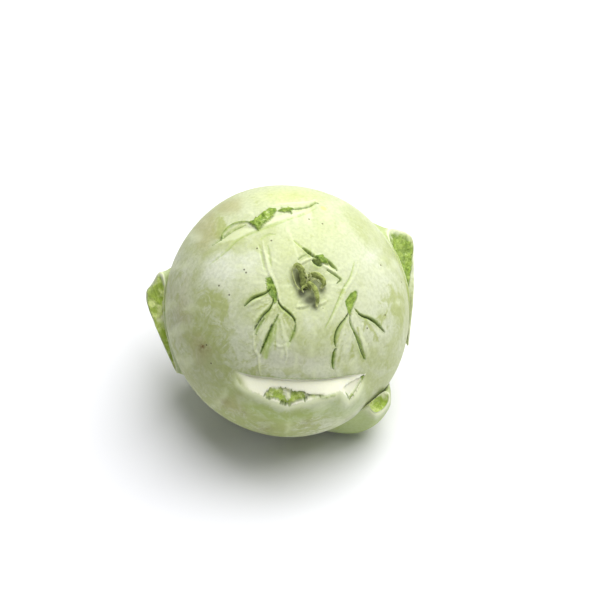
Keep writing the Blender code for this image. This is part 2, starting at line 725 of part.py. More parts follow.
def leaf_mesh(half_width, thickness, path):
    """A withered leaf as a flattened, tapering strip."""
    path = curve_through(path, LEAF_STEPS)
    middle = hollow_points(path[:, :2], path[:, 2])
    ways = unit(np.gradient(middle, axis=0))
    outwards = unit(middle)
    across = unit(np.cross(ways, outwards))
    over = np.cross(across, ways)
    angles = np.linspace(0.0, 2.0 * math.pi, LEAF_SECTORS, endpoint=False)
    parts = [middle[:1] - LEAF_END * ways[:1]]
    for k in range(len(middle)):
        share = k / (len(middle) - 1)
        size = 1.0 - (1.0 - LEAF_TIP_SHARE) * share**2
        ring = np.cos(angles)[:, None] * across[k] * half_width * size
        ring = ring + np.sin(angles)[:, None] * over[k] * thickness * 0.5 * size
        parts.append(middle[k] + ring)
    parts.append(middle[-1:] + LEAF_END * ways[-1:])
    return fan_capped(parts)


def material_of(name, colour, roughness):
    material = bpy.data.materials.new(name)
    material.use_nodes = True
    shader = material.node_tree.nodes["Principled BSDF"]
    shader.inputs["Base Color"].default_value = colour
    shader.inputs["Roughness"].default_value = roughness
    return material


def object_of(name, points, triangles, material):
    """A mesh object in metres, with the middle of the rest spot at the origin."""
    mesh = bpy.data.meshes.new(name)
    mesh.from_pydata([tuple(point) for point in (points - rest_middle()) * MM], [], triangles)
    work = bmesh.new()
    work.from_mesh(mesh)
    bmesh.ops.recalc_face_normals(work, faces=work.faces[:])
    work.to_mesh(mesh)
    work.free()
    mesh.shade_smooth()
    mesh.set_sharp_from_angle(angle=SHARP_ANGLE)
    mesh.materials.append(material)
    made = bpy.data.objects.new(name, mesh)
    bpy.context.scene.collection.objects.link(made)
    return made


def build_bulb():
    points, triangles = stem_mesh()
    return object_of("bulb", points, triangles, material_of("skin", SKIN_COLOUR, SKIN_ROUGHNESS))


def build_crown_tuft():
    """The withered leaves and their cushion, joined into one solid."""
    material = material_of("withered_leaf", WITHERED_COLOUR, WITHERED_ROUGHNESS)
    tuft = object_of("crown_tuft", *cushion_mesh(), material)
    helpers = []
    for number, leaf in enumerate(TUFT_LEAVES):
        helper = object_of(f"leaf_{number}", *leaf_mesh(*leaf), material)
        joint = tuft.modifiers.new(f"join_{number}", "BOOLEAN")
        joint.operation = "UNION"
        joint.solver = "EXACT"
        joint.object = helper
        helpers.append(helper)
    bpy.context.view_layer.update()
    graph = bpy.context.evaluated_depsgraph_get()
    joined = bpy.data.meshes.new_from_object(tuft.evaluated_get(graph))
    tuft.modifiers.clear()
    tuft.data = joined
    joined.shade_smooth()
    for helper in helpers:
        bpy.data.objects.remove(helper, do_unlink=True)
    return tuft


def main():
    for old in list(bpy.data.objects):
        bpy.data.objects.remove(old, do_unlink=True)
    build_bulb()
    build_crown_tuft()


main()
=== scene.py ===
"""Looks of the kohlrabi: fine skin with torn scars and wax bloom, withered tip, floor, light and camera."""

import math
import types

import bmesh
import bpy
import numpy as np
from mathutils import Matrix, Vector, kdtree
from mathutils.geometry import delaunay_2d_cdt


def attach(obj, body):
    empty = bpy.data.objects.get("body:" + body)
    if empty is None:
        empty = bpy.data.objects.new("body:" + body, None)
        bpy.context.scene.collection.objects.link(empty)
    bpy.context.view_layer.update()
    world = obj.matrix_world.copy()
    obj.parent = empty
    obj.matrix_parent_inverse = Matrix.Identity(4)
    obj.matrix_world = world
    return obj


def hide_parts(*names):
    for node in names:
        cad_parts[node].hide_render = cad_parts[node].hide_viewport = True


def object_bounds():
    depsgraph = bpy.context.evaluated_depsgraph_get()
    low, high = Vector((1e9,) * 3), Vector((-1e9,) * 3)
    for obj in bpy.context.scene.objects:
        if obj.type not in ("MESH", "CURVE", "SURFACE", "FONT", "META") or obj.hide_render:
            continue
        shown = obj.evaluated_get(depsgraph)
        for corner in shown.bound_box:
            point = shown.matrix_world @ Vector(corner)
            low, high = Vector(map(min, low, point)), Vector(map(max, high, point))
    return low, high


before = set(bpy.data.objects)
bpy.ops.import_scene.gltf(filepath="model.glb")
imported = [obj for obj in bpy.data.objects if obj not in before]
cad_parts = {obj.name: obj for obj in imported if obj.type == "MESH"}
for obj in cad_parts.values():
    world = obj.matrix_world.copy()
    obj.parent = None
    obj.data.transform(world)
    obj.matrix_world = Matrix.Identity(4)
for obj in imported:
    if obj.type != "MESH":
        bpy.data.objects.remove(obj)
cad_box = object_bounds()

# Sizes in millimetres, the same as in the part's source
MM = 0.001
EQUATOR_RADIUS = 46.0
CROWN_HEIGHT = 39.0
ROOT_HEIGHT = 40.0
REST_DEPTH = 41.0
REST_SIDES = 22
REST_STEPS = 30
REST_WIDEST = 0.5
TALLER = 0.8
FULLER = 0.9
FULLER_WAY = (-0.6, 0.8)
LUMP_HEIGHT = 0.3
LUMP_WAVES = ((5.1, 1.0), (4.3, 0.4), (4.7, 2.0))
DEPTH_GUESS = 0.7
DEPTH_STEPS = 24

# The face side is looked at from this height and distance, and places on it are millimetres right and up
FACE_ELEVATION = math.radians(45.0)
FACE_DISTANCE = 900.0
CROWN_LEAN = (0.192, 0.256, 0.947)

# Spacing of the surface points
FINE = 0.42
FINEST = 0.29
COARSE = 1.7
SPACING_GROWTH = 0.3
LINE_SPACING = 0.8
LINE_FINE = 1.6
CREASE_FINE = 0.8
LIP_FINE = 1.4
TORN_FINE = 1.2
PITH_FINE = 1.6
TIP_SPACING = 0.7
TRIANGLE_HEIGHT = 0.866
FINE_UNTIL = 1.2
FINE_CANDIDATES = 0.26
COARSE_CANDIDATES = 1.0
LINE_CURVE_STEPS = 5
GOLDEN_ANGLE = math.pi * (3.0 - math.sqrt(5.0))
FULL_TURN = 2.0 * math.pi

# Noise: factors that mix a cell's numbers, and the share and size of its finer half
MIX_FACTORS = (73856093, 19349663, 83492791)
MIX_LAST = 1274126177
MIX_MASK = 0xFFFFFF
SEED_SHIFT = 13.7
NOISE_COARSE = 0.65
NOISE_FINE = 0.35
NOISE_FINE_SIZE = 0.45

# Noises of the shapes and masks: size and seed
RAGGED_NOISE = (1.3, 3)
FRINGE_NOISE = (0.9, 8)
SHELF_NOISE = (1.6, 17)
RIM_NOISE = (1.4, 7)
CUT_EDGE_NOISE = (2.6, 9)
TEAR_NOISE = (1.5, 5)
WHITE_NOISE = (4.5, 12)
FLAP_NOISE = (2.2, 19)
ROOT_NOISE = (1.2, 4)
PATCH_NOISE = (4.0, 14)
BACK_NOISE = (19.0, 31)
FAN_NOISE = (1.0, 21)
RADIAL_NOISE = (1.0, 23)
LEAF_NOISE = (1.1, 2)
FRAY_NOISE = (0.7, 6)
CUSHION_NOISE = (1.2, 8)

# Growing tip
TIP_PLACE = (7.6, 9.8)
TIP_HOLLOW_DEPTH = 2.4
TIP_HOLLOW_RADIUS = 6.5
CROWN_DIP_DEPTH = 1.0
CROWN_DIP_RADIUS = 17.0
TUFT_GAP = 0.34

# Broad cut scar low on the face side
SHELF_FACING = 0.2
SHELF_REACH = 30.0
EDGE_REACH = 3.0
CREASE_DEPTH = 0.9
CREASE_WIDTH = 0.6
CREASE_LIME_AND_SHADE = 0.9
CREASE_AWAY = 0.4
CREASE_SPREAD = 0.5
CREASE_SHADE_SHARE = 0.4
DARK_SHARE = 0.8
DARK_RAGGED = 0.2
BEYOND_SHARE = 0.5
BEYOND_AWAY = 6.0
BEYOND_SPREAD = 5.0
BEYOND_FADE = 0.2
CUT_START = 0.10
CUT_SLANT = 0.22
LIP_HIGHLIGHT_WIDTH = 1.6
LIP_HIGHLIGHT_FADE = 0.1
BANK_HEIGHT = 0.5
BANK_AWAY = 3.0
BANK_SPREAD = 2.5
BAND_SHARE = 0.9
LIP_RISE = 3.0
LIP_START = 0.9
LIP_SWELL = 0.1
LIP_FLAT = 2.0
LIP_REACH = 8.0
TORN_DEPTH = 1.0
TORN_ROUGH = 0.9
TORN_SHIFT = 0.35
TORN_EDGE = 0.4
TORN_WHITE = 0.75
TORN_FRESH = 0.8
STREAK_SHARE = 0.8
STREAK_WIDTH = 0.5
STREAK_RAGGED = 0.3
SLAB_DEPTH = 0.9
SLAB_EDGE = 0.34
SLAB_START = 20.6
SLAB_MIDDLE = 27.4
SLAB_HALF = 2.2
SLAB_FAINT = 0.55
SHELF_FADE = 0.16
CREASE = (
    (-20.8, -21.9), (-14.6, -24.1), (-9.0, -24.9), (-1.4, -25.7),
    (7.1, -26.0), (15.2, -25.6), (21.6, -24.6), (28.9, -23.4),
)
LIP = (
    (-20.8, -21.9), (-17.6, -26.2), (-13.3, -28.1), (-9.0, -29.9), (-4.8, -31.8), (0.3, -33.4),
    (4.4, -32.3), (8.9, -31.2), (13.7, -29.6), (18.4, -28.2), (21.6, -31.4), (25.4, -28.0), (28.9, -23.4),
)
TORN = (
    (-9.1, -29.4), (-7.0, -28.4), (-4.6, -28.2), (-1.2, -28.3), (1.0, -28.8), (2.6, -29.6), (5.0, -29.5),
    (7.8, -30.1), (7.2, -31.0), (2.6, -32.2), (0.4, -33.2), (-1.6, -32.6), (-4.2, -31.2), (-7.0, -30.8),
)
TORN_STREAK = ((6.6, -30.4), (11.0, -30.1), (13.5, -30.0), (16.2, -29.3))
SLAB = ((19.8, -27.8), (28.2, -24.0), (24.8, -27.9), (21.6, -30.8))

# Leaf scars near the crown: half width, height, look, strength, then places from end to end
LEFT_SCAR = (
    (0.5, 0.3, "pale", 0.45, (
        (-9.4, 27.0), (-9.0, 23.4), (-8.1, 19.5), (-7.0, 14.9), (-5.2, 11.0), (-3.7, 7.0), (-3.0, 3.6),
        (-1.2, 1.2),
    )),
    (0.35, -0.25, "lime", 0.5, ((-10.8, 25.0), (-9.6, 19.5), (-8.8, 14.9))),
    (0.35, -0.25, "lime", 0.5, ((-7.6, 25.0), (-6.9, 20.0), (-6.2, 16.5))),
    (0.36, -1.1, "crack", 1.0, (
        (-6.4, 8.6), (-7.6, 7.4), (-9.0, 6.4), (-12.7, 4.9), (-14.9, 3.3), (-16.6, 1.4),
    )),
    (0.7, 0.4, "pale", 0.5, ((-9.6, 4.7), (-12.9, 3.3), (-15.1, 1.6))),
    (0.34, -0.9, "crack", 1.0, (
        (-5.4, 5.0), (-6.0, 2.6), (-7.2, 0.4), (-9.3, -1.7), (-11.7, -5.2), (-12.8, -7.5),
    )),
    (0.6, -0.4, "torn", 0.75, ((-8.4, -2.2), (-10.9, -5.6), (-12.0, -8.9))),
    (0.45, 0.3, "pale", 0.5, (
        (-12.9, -7.6), (-12.4, -14.2), (-10.9, -16.8), (-10.4, -21.6), (-9.6, -24.2),
    )),
    (0.5, -0.7, "torn", 1.0, ((-3.3, -0.6), (-5.3, -4.7), (-7.6, -10.0), (-9.9, -15.0), (-10.1, -16.4))),
    (1.4, -0.25, "lime", 0.8, ((-3.0, -2.4), (-5.4, -7.6), (-7.6, -13.0), (-8.4, -18.5))),
    (0.26, -0.6, "crack", 0.9, ((-5.8, -4.6), (-8.0, -10.0), (-10.3, -15.4))),
    (0.34, -1.0, "crack", 1.0, (
        (-3.9, 4.6), (-3.4, 2.8), (-2.2, 1.2), (0.0, -0.6), (2.1, -2.8), (2.9, -5.0),
    )),
    (0.45, -0.6, "torn", 0.9, ((2.9, -4.4), (2.3, -8.0), (0.6, -11.6))),
    (0.8, -0.15, "lime", 0.6, ((1.9, -7.0), (0.9, -10.6), (-0.4, -13.6))),
    (0.4, 0.2, "pale", 0.35, (
        (-7.0, -14.2), (-5.0, -12.2), (-3.0, -13.4), (-0.4, -12.6), (-0.9, -14.2), (-0.5, -15.8),
        (-0.9, -19.5),
    )),
)
RIGHT_SCAR = (
    (0.5, 0.2, "pale", 0.3, (
        (26.6, 19.6), (25.8, 15.8), (24.4, 12.2), (21.7, 8.0), (19.6, 2.7), (17.2, -2.2), (14.4, -7.8),
    )),
    (0.35, -0.4, "lime", 0.7, (
        (24.9, 19.0), (23.4, 12.8), (20.9, 8.4), (18.6, 2.9), (16.2, -2.3), (13.4, -7.2),
    )),
    (0.34, -1.0, "crack", 1.0, (
        (22.6, -0.6), (21.6, -2.6), (19.9, -4.7), (18.1, -7.7), (17.4, -11.2), (17.9, -13.8),
    )),
    (0.45, -0.7, "torn", 1.0, ((17.8, -13.4), (16.9, -17.4), (16.8, -21.6))),
    (0.28, -0.5, "crack", 0.9, ((17.1, -14.4), (16.5, -18.0), (16.5, -21.4))),
    (0.42, -0.7, "torn", 1.0, (
        (22.9, 0.2), (23.5, -5.2), (25.2, -8.4), (26.7, -11.5), (27.7, -14.7), (28.9, -18.4),
    )),
    (0.3, -0.6, "crack", 1.0, ((24.4, -7.6), (26.1, -11.8), (27.1, -15.0), (28.5, -18.2))),
    (0.36, -1.0, "crack", 1.0, ((24.6, 1.4), (26.9, -1.5), (30.6, -3.1), (33.3, -5.2), (36.2, -8.2))),
    (0.5, -0.4, "torn", 0.7, ((30.0, -2.4), (32.6, -4.0), (34.4, -5.6))),
)
UPPER_SCAR = (
    (0.42, -0.8, "crack", 1.0, ((5.2, 23.9), (7.2, 22.4), (9.2, 21.0), (11.4, 19.6))),
    (0.3, -0.4, "lime", 0.8, ((1.8, 26.6), (5.0, 24.0), (7.8, 21.9), (10.4, 20.0))),
    # A deep groove under the core; its crack colour is painted shade in the hollow there
    (0.6, -1.3, "crack", 1.0, ((9.0, 19.8), (10.4, 18.6), (11.8, 17.7), (13.2, 17.3))),
    (0.34, -1.1, "crack", 1.0, ((13.4, 20.4), (15.0, 18.8), (16.9, 16.8), (18.9, 15.0))),
    (0.26, -0.6, "crack", 0.9, (
        (14.5, 16.0), (16.0, 14.8), (17.6, 13.7), (19.7, 12.0), (19.4, 11.2), (18.2, 10.2),
    )),
    (0.5, 0.45, "pale", 0.6, ((12.2, 18.2), (15.2, 16.2), (18.6, 14.1))),
    (0.22, -0.3, "crack", 0.5, ((3.6, 19.2), (5.4, 20.6), (7.4, 21.3))),
)
TOP_SCAR = (
    (0.6, -0.5, "lime", 0.5, (
        (-29.8, 16.6), (-23.3, 21.9), (-19.6, 25.8), (-16.4, 27.9), (-12.2, 29.6), (-9.0, 30.9),
        (-4.8, 32.3), (-0.2, 34.1), (5.9, 36.0), (11.4, 38.6),
    )),
    (0.42, 0.6, "torn", 0.9, (
        (-13.6, 32.8), (-15.9, 33.0), (-19.2, 32.5), (-21.7, 31.1), (-23.6, 29.1), (-25.2, 26.0),
    )),
    (0.4, -0.4, "torn", 0.7, ((-15.0, 32.2), (-20.1, 30.0), (-23.3, 27.9), (-28.4, 24.1))),
    (0.34, -0.6, "crack", 0.9, ((-3.6, 37.2), (2.4, 37.7), (7.7, 38.8), (10.5, 40.1), (11.7, 39.4))),
    (0.8, 0.6, "pale", 0.6, ((-6.4, 38.8), (-3.9, 39.2), (1.2, 39.6), (7.2, 40.0), (11.0, 41.2))),
    (0.4, -0.3, "lime", 0.45, ((-4.4, 28.6), (-8.2, 28.2), (-10.4, 26.4))),
)
TIP_FOLDS = (
    (0.55, 0.5, "pale", 0.3, ((2.6, 1.6), (5.8, 1.8), (8.9, 2.6))),
    (0.55, 0.5, "pale", 0.3, ((11.0, 2.4), (12.8, 3.0), (15.0, 4.3))),
    (0.45, 0.5, "pale", 0.3, ((3.8, 17.3), (7.0, 19.3), (9.8, 20.0))),
)
FRONT_LINES = LEFT_SCAR + RIGHT_SCAR + UPPER_SCAR + TOP_SCAR + TIP_FOLDS
FAR_AWAY = 1e3
LINE_REACH = 8.0
GROOVE_POWER = 1.5
BANK_SHARE = 0.24
BANK_PLACE = 2.1
BANK_WIDTH = 0.9
RIB_SIDE_SHARE = 0.35
RIB_SIDE_PLACE = 1.9
RIB_SIDE_WIDTH = 0.6
LOOK_WIDTH = 1.05
HALO_WIDTH = 2.8
HALO_SHARE = 0.85
LINE_FADE = 0.12
LINE_TIP = 0.45
LINE_TAPER = 0.42
RAGGED = 0.3

# Torn pith at the scars: height, roughness, look, then outline places
PITH_AREAS = (
    (-0.4, 0.5, "torn", (
        (-8.4, 13.0), (-6.0, 13.2), (-4.6, 10.0), (-3.9, 7.2), (-3.8, 4.0), (-4.9, 2.0), (-6.3, 4.8),
        (-7.8, 7.2), (-8.4, 9.8),
    )),
    (-0.4, 0.4, "torn", (
        (21.2, 3.8), (23.2, 6.9), (25.3, 8.2), (26.2, 7.2), (25.9, 4.4), (24.5, 1.4), (23.3, -2.0),
        (22.3, -1.0), (21.6, 1.8),
    )),
    (0.6, 0.6, "torn", (
        (10.0, 21.0), (13.0, 21.5), (14.8, 19.6), (15.6, 17.2), (12.4, 17.8), (10.5, 19.4),
    )),
    (0.8, 1.1, "torn", (
        (-15.2, 32.7), (-12.7, 33.7), (-9.4, 36.5), (-6.7, 38.0), (-4.3, 38.1), (-3.9, 37.2),
        (-5.3, 34.9), (-9.0, 31.9), (-10.4, 30.4), (-11.1, 29.8), (-13.1, 31.4),
    )),
    (0.4, 0.3, "torn", ((-4.6, 36.9), (-2.0, 38.3), (1.4, 38.6), (2.8, 37.6), (1.2, 36.6), (-2.0, 36.4))),
)
AREA_REACH = 4.0
PITH_EDGE = 0.8
PITH_RAGGED = 0.55
BAND_DEPTH = 0.4
BAND_STRENGTH = 0.5
BAND_OUTLINE = (
    (-28.0, 24.6), (-22.0, 29.0), (-16.0, 31.6), (-9.8, 31.2), (-4.6, 35.6), (3.0, 37.2),
    (10.6, 39.4), (5.9, 36.4), (-4.8, 32.8), (-12.2, 30.0), (-19.6, 26.3),
)

# Torn fans of the two claws: middle of the core, then outline places
FANS = (
    ((-4.6, 4.6), (
        (-5.4, 3.6), (-9.0, 4.2), (-13.4, 2.6), (-12.4, -2.0), (-12.8, -8.0), (-12.2, -14.0),
        (-9.6, -20.0),
        (-6.0, -15.0), (-0.8, -16.5), (2.8, -6.0), (-1.8, 1.2),
    )),
    ((24.0, 3.6), (
        (22.6, 0.6), (19.0, -6.8), (17.0, -13.0), (15.6, -21.0), (20.0, -22.6), (28.0, -19.0),
        (33.0, -13.0),
        (36.0, -8.6), (31.0, -3.4), (25.6, 0.8),
    )),
)
FAN_STREAKS = 17.0
FAN_ALONG = 0.12
FAN_WAVE = 0.3
FAN_WAVES = 5.0

# Rubbed greener patches, brown marks and dark specks: place, then radius and strength
GREEN_PATCHES = (
    (-31.0, 3.5, 5.0, 7.0, 0.5), (-25.5, 2.0, 6.0, 8.0, 0.8), (-37.0, -8.0, 5.0, 7.0, 0.7),
    (-28.0, -17.5, 9.0, 6.0, 0.85),
    (-19.0, -29.0, 8.0, 4.0, 0.9), (5.0, -38.0, 11.0, 4.5, 0.6), (24.0, -34.0, 6.0, 4.0, 0.4),
    (-4.0, -44.0, 12.0, 4.0, 0.7),
    (40.5, 2.0, 4.0, 10.0, 0.75), (36.0, -1.0, 6.0, 9.0, 0.6), (-25.0, 31.0, 4.0, 5.0, 0.8),
    (-30.0, 20.0, 5.0, 4.0, 0.5),
    (20.0, 7.0, 3.0, 5.0, 0.5), (-2.0, 9.0, 3.0, 4.0, 0.2), (17.0, -11.0, 3.0, 6.0, 0.5),
    (-22.0, 12.0, 4.0, 3.0, 0.5),
    (-8.0, 1.0, 5.0, 3.0, 0.4), (37.0, -20.0, 4.0, 5.0, 0.5),
)
TAN_PATCHES = (
    (-31.0, 31.0, 5.0, 9.0, 1.0), (-22.0, 39.0, 7.0, 4.0, 0.8), (-20.0, -34.0, 9.0, 4.0, 0.8),
    (-33.0, -14.0, 5.0, 8.0, 0.7), (-39.0, 0.0, 6.0, 14.0, 0.6),
)
YELLOW_PATCHES = ((0.0, 42.5, 13.0, 3.0, 1.0), (14.0, 30.0, 10.0, 8.0, 0.25), (2.0, 24.0, 7.0, 7.0, 0.4))
# Grey-lilac tone at the lower left edge, and painted shade on the band above the crease of the broad cut
# scar
GREY_AND_SHADE_PATCHES = (
    (-34.0, -24.0, 9.0, 9.0, 0.45), (-42.0, -4.0, 4.0, 6.0, 0.5), (-44.0, 8.0, 3.0, 6.0, 0.4),
    (1.0, -18.5, 15.0, 4.0, 0.6),
)
GREY_AND_SHADE_SHARE = 0.5
PATCH_SHARE = 0.6
PATCH_NOISE_SHARES = (0.5, 0.7)
CROWN_REACH = 24.0
CROWN_SHARES = (0.7, 0.5)
RADIAL_SHARES = (0.45, 0.4)
FAN_SHARES = (0.8, 0.55)
# Painted shade: the skin turns greener and darker towards the lower left, the side away from the light
SHADED_WAY = (-0.7, -0.7)
SHADED_REACH = 36.0
SHADED_SHARE = 0.78
BLOOM_PATCHES = (
    (-24.0, 16.0, 9.0, 8.0, 0.8), (-14.0, 18.0, 7.0, 7.0, 0.7), (-16.0, -6.0, 8.0, 9.0, 0.5),
    (9.0, -4.0, 7.0, 8.0, 0.5),
    (32.0, 22.0, 6.0, 10.0, 0.5), (-14.0, -33.0, 7.0, 3.0, 0.5), (22.0, -36.0, 7.0, 4.0, 0.7),
    (-36.0, 4.0, 4.0, 9.0, 0.5),
)
PATCH_START = 0.22
PATCH_RAGGED = 0.34
PATCH_GAIN = 1.9
BACK_GREEN_GAIN = 2.2
BACK_GREEN_START = 0.12
RADIAL_STREAKS = 15.0
RADIAL_LENGTH = 9.0
BROWN_MARKS = (
    (-31.9, -13.3, 1.0, 1.0, 1.6), (-30.0, -15.2, 2.6, 0.8, 0.6), (7.0, -41.2, 2.4, 1.6, 0.35),
    (-8.2, -44.0, 3.0, 1.6, 0.35),
    (-23.7, -33.4, 2.2, 1.3, 0.35), (-16.4, -37.8, 1.8, 1.2, 0.35), (-40.6, -22.8, 1.4, 1.4, 0.8),
)
SPECKS = (
    (-11.5, 23.3), (-16.3, 15.4), (-15.6, 14.3), (7.8, 34.1), (12.8, 32.4), (-25.6, 9.4), (34.4, 17.0),
    (42.0, 10.7), (-30.2, -12.6), (-21.8, 6.0), (36.0, -1.5), (-6.2, 26.2), (29.4, -6.4), (-28.5, -19.4),
)
SPECK_RADIUS = 0.42
PALE_DOT = (13.2, 38.1, 1.5)
DROPLET = (2.1, 36.7, 0.8, 0.5)

# Scars of the same kinds on the hidden side: the place each is modelled at, and the direction it is moved to
CLAW_PLACE = (-6.0, 2.0)
BACK_CLAW_MIDDLE = (-0.62, 0.45, -0.64)
SHELF_PLACE = (4.0, -28.0)
BACK_SHELF_MIDDLE = (0.12, 0.85, -0.51)

# Stalk stubs: middle of the base, its long way, half sizes, way the stub points, and eight rim places
# An edge share of the cut face stays skin: everywhere, and more round one angle
# All places are right, up and towards the viewer
# The rim starts at the long way's end and turns to the crown
# The crease share is painted shade in the crease where a stub's crown side meets the skin
LEFT_STUB = {
    "middle": (-0.966, -0.100, -0.250),
    "long_way": (0.0, 1.0, 0.0),
    "half_sizes": (26.2, 11.0),
    "points": (-0.42, 0.10, 0.90),
    "hollow": 0.8,
    "skin_edge": (0.03, 0.05, 25.0),
    "fresh": 1.0,
    "green": 0.45,
    "crease": 0.1,
    "swell": 0.12,
    "rim": (
        (-47.4, 14.6, -3.2), (-45.6, 9.6, -1.8), (-46.3, 1.0, -1.2), (-44.9, -9.6, -2.4),
        (-41.6, -23.0, -6.6), (-48.6, -7.6, -5.8), (-53.0, 5.0, -6.0), (-50.4, 10.8, -4.8),
    ),
}
RIGHT_STUB = {
    "middle": (0.905, 0.285, -0.270),
    "long_way": (-0.36, 0.93, 0.0),
    "half_sizes": (27.6, 11.0),
    "points": (0.30, 0.26, 0.92),
    "hollow": 0.7,
    "skin_edge": (0.02, 0.50, 200.0),
    "fresh": 0.15,
    "green": 0.45,
    "crease": 0.1,
    "swell": 0.12,
    "rim": (
        (38.4, 30.8, -7.2), (37.7, 26.6, -4.4), (41.7, 18.6, -3.8), (45.3, 4.8, -3.2),
        (44.8, -13.0, -6.0), (46.8, 4.4, -6.2), (47.0, 18.6, -8.8), (46.2, 27.8, -10.0),
    ),
}
LOWER_STUB = {
    "middle": (0.560, -0.806, -0.190),
    "long_way": (0.83, 0.55, 0.0),
    "half_sizes": (17.5, 12.0),
    "points": (-0.12, 0.26, 0.95),
    "hollow": 1.6,
    "skin_edge": (0.06, 0.0, 0.0),
    "fresh": 0.8,
    "green": 0.6,
    "crease": 0.85,
    "swell": 0.47,
    "rim": (
        (37.2, -30.6, 8.4), (35.0, -29.6, 10.4), (32.1, -31.6, 12.0), (29.6, -33.8, 13.2),
        (29.6, -35.6, 13.4), (31.8, -37.6, 12.4), (34.4, -36.6, 10.6), (36.9, -33.6, 8.8),
    ),
}
STUBS = (LEFT_STUB, RIGHT_STUB, LOWER_STUB)
STUB_SECTORS = 128
WALL_RINGS = 26
FLARE_START = 0.40
FLARE_END = 0.42
# Painted highlight along the rim of each stub wall
WALL_RIM_HIGHLIGHT_SHARE = 0.9
WALL_CREASE_SHADE_WIDTH = 0.16
RIM_ROUGH = 0.35
SKIN_EDGE_WIDTH = 1.1
AXIL_SHARE = 0.3
AXIL_LIFT = 0.7
CUT_RINGS = 20
CUT_HOLLOW = ((0.0, -1.0), (0.25, -0.95), (0.5, -0.75), (0.74, -0.25), (0.90, 0.35), (0.97, 0.3), (1.0, 0.0))
CUT_RAGGED = 0.10
CUT_GAIN = 10.0
FLAPS_PLACE = 0.9
FLAPS_WIDTH = 0.14
FLAPS_LOW = 0.25
FLAPS_RISE = 0.75
WHITE_COVER = 0.8
WHITE_SHARE = 0.7
TEAR_HEIGHT = 0.7
TEAR_STRETCH = (1.6, 0.7, 0.7)

# Cut root
ROOT_BASE_RADIUS = 14.5
ROOT_RADIUS = 11.2
ROOT_REACH = 41.9
ROOT_SECTORS = 110
ROOT_WALL_RINGS = 14
ROOT_CUT_RINGS = 26
ROOT_ROUGH = 0.16
ROOT_RING_HEIGHT = 0.08
ROOT_RING_PACE = 38.0
ROOT_RISE = ((0.0, 0.55), (0.18, 0.55), (0.4, 0.45), (0.66, 0.25), (0.90, 0.4), (0.97, 0.3), (1.0, 0.0))

SKIN_FACING = 0.1
LOOKS = ("torn", "fresh", "cut", "crack", "pale", "lime", "pocket", "root")

# Soft steps of the masks: gain and start
LINE_ENDS = (3.0, 0.0)
PITH_SHOWN = (2.0, 0.0)
SHELF_WHITE = (4.0, -0.2)
SHELF_DARK = (2.0, 0.8)
WALL_GREEN = (3.0, 0.0)
WALL_GREEN_END = (-4.0, 4.0)
WALL_RIM_HIGHLIGHT = (8.0, -7.0)
WALL_CREASE_SHADE = (2.0, -1.0)
AXIL_SIDE = (0.8, 0.5)
CUT_PALE = (4.0, -1.2)
CUT_FLAPS = (5.0, 0.2)
FLAPS_SIDE = (2.0, 0.3)
ROOT_SHOWN = (1.5, -0.5)
FACING = (5.0, 0.0)
CROWN_SIDE = (1.5, -0.5)
RADIAL_GREEN = (2.0, -0.3)
RADIAL_PALE = (-2.2, -0.35)
FAN_GREEN = (2.5, 0.0)
FAN_PALE = (-2.5, 0.0)
LEAF_END = (6.0, -5.0)


def unit(vectors):
    vectors = np.asarray(vectors, float)
    return vectors / np.linalg.norm(vectors, axis=-1, keepdims=True)


# Columns: right, up and towards the viewer of the face side
FACE = np.array(
    (
        (1.0, 0.0, 0.0),
        (0.0, math.sin(FACE_ELEVATION), -math.cos(FACE_ELEVATION)),
        (0.0, math.cos(FACE_ELEVATION), math.sin(FACE_ELEVATION)),
    )
)
CROWN = FACE @ unit(CROWN_LEAN)


def standing_frame(direction):
    """Axes at a place on the skin: along the skin to the crown, across, and outwards."""
    upwards = unit(CROWN - direction * (CROWN @ direction))
    return np.stack([upwards, np.cross(upwards, direction), direction], axis=1)


def turn_between(place, middle):
    """Matrix moving a place on the face side to another direction, keeping its way to the crown."""
    return standing_frame(FACE @ unit(middle)) @ standing_frame(directions_at(place)).T


def smooth(value):
    value = np.clip(value, 0.0, 1.0)
    return value * value * (3.0 - 2.0 * value)


def soft(value, limits):
    """Soft step of a value, from limits of a gain and a start."""
    gain, start = limits
    return smooth(gain * value + start)


def bell(distance, width):
    return np.exp(-((distance / width) ** 2))


def lattice_noise(points, size, seed=0):
    """Smooth noise from -1 to 1 that changes over the given size."""
    scaled = points / size + SEED_SHIFT * seed
    cell = np.floor(scaled).astype(np.int64)
    part = smooth(scaled - cell)
    total = np.zeros(len(points))
    for corner in np.ndindex(2, 2, 2):
        place = cell + corner
        mixed = np.bitwise_xor.reduce(place * MIX_FACTORS, axis=1)
        mixed = (mixed ^ (mixed >> 13)) * MIX_LAST & MIX_MASK
        weight = np.prod(np.where(corner, part, 1.0 - part), axis=1)
        total += weight * (mixed / (MIX_MASK // 2) - 1.0)
    return total


def rough_noise(points, size, seed=0):
    coarse = NOISE_COARSE * lattice_noise(points, size, seed)
    return coarse + NOISE_FINE * lattice_noise(points, NOISE_FINE_SIZE * size, seed + 1)


def base_radius(directions):
    """Distance from the middle to the skin, before scars."""
    along = directions @ CROWN
    polar = np.where(along > 0.0, CROWN_HEIGHT, ROOT_HEIGHT)
    radius = 1.0 / np.sqrt((1.0 - along**2) / EQUATOR_RADIUS**2 + along**2 / polar**2)
    face = directions @ FACE
    radius = radius + TALLER * (face[..., 1] ** 2 - face[..., 0] ** 2)
    fuller = FULLER_WAY[0] * face[..., 0] + FULLER_WAY[1] * face[..., 1]
    radius = radius + FULLER * np.clip(fuller, 0.0, 1.0) ** 2
    waves = 1.0
    for k, (pace, shift) in enumerate(LUMP_WAVES):
        waves = waves * np.sin(pace * face[..., k] + shift)
    return radius + LUMP_HEIGHT * waves


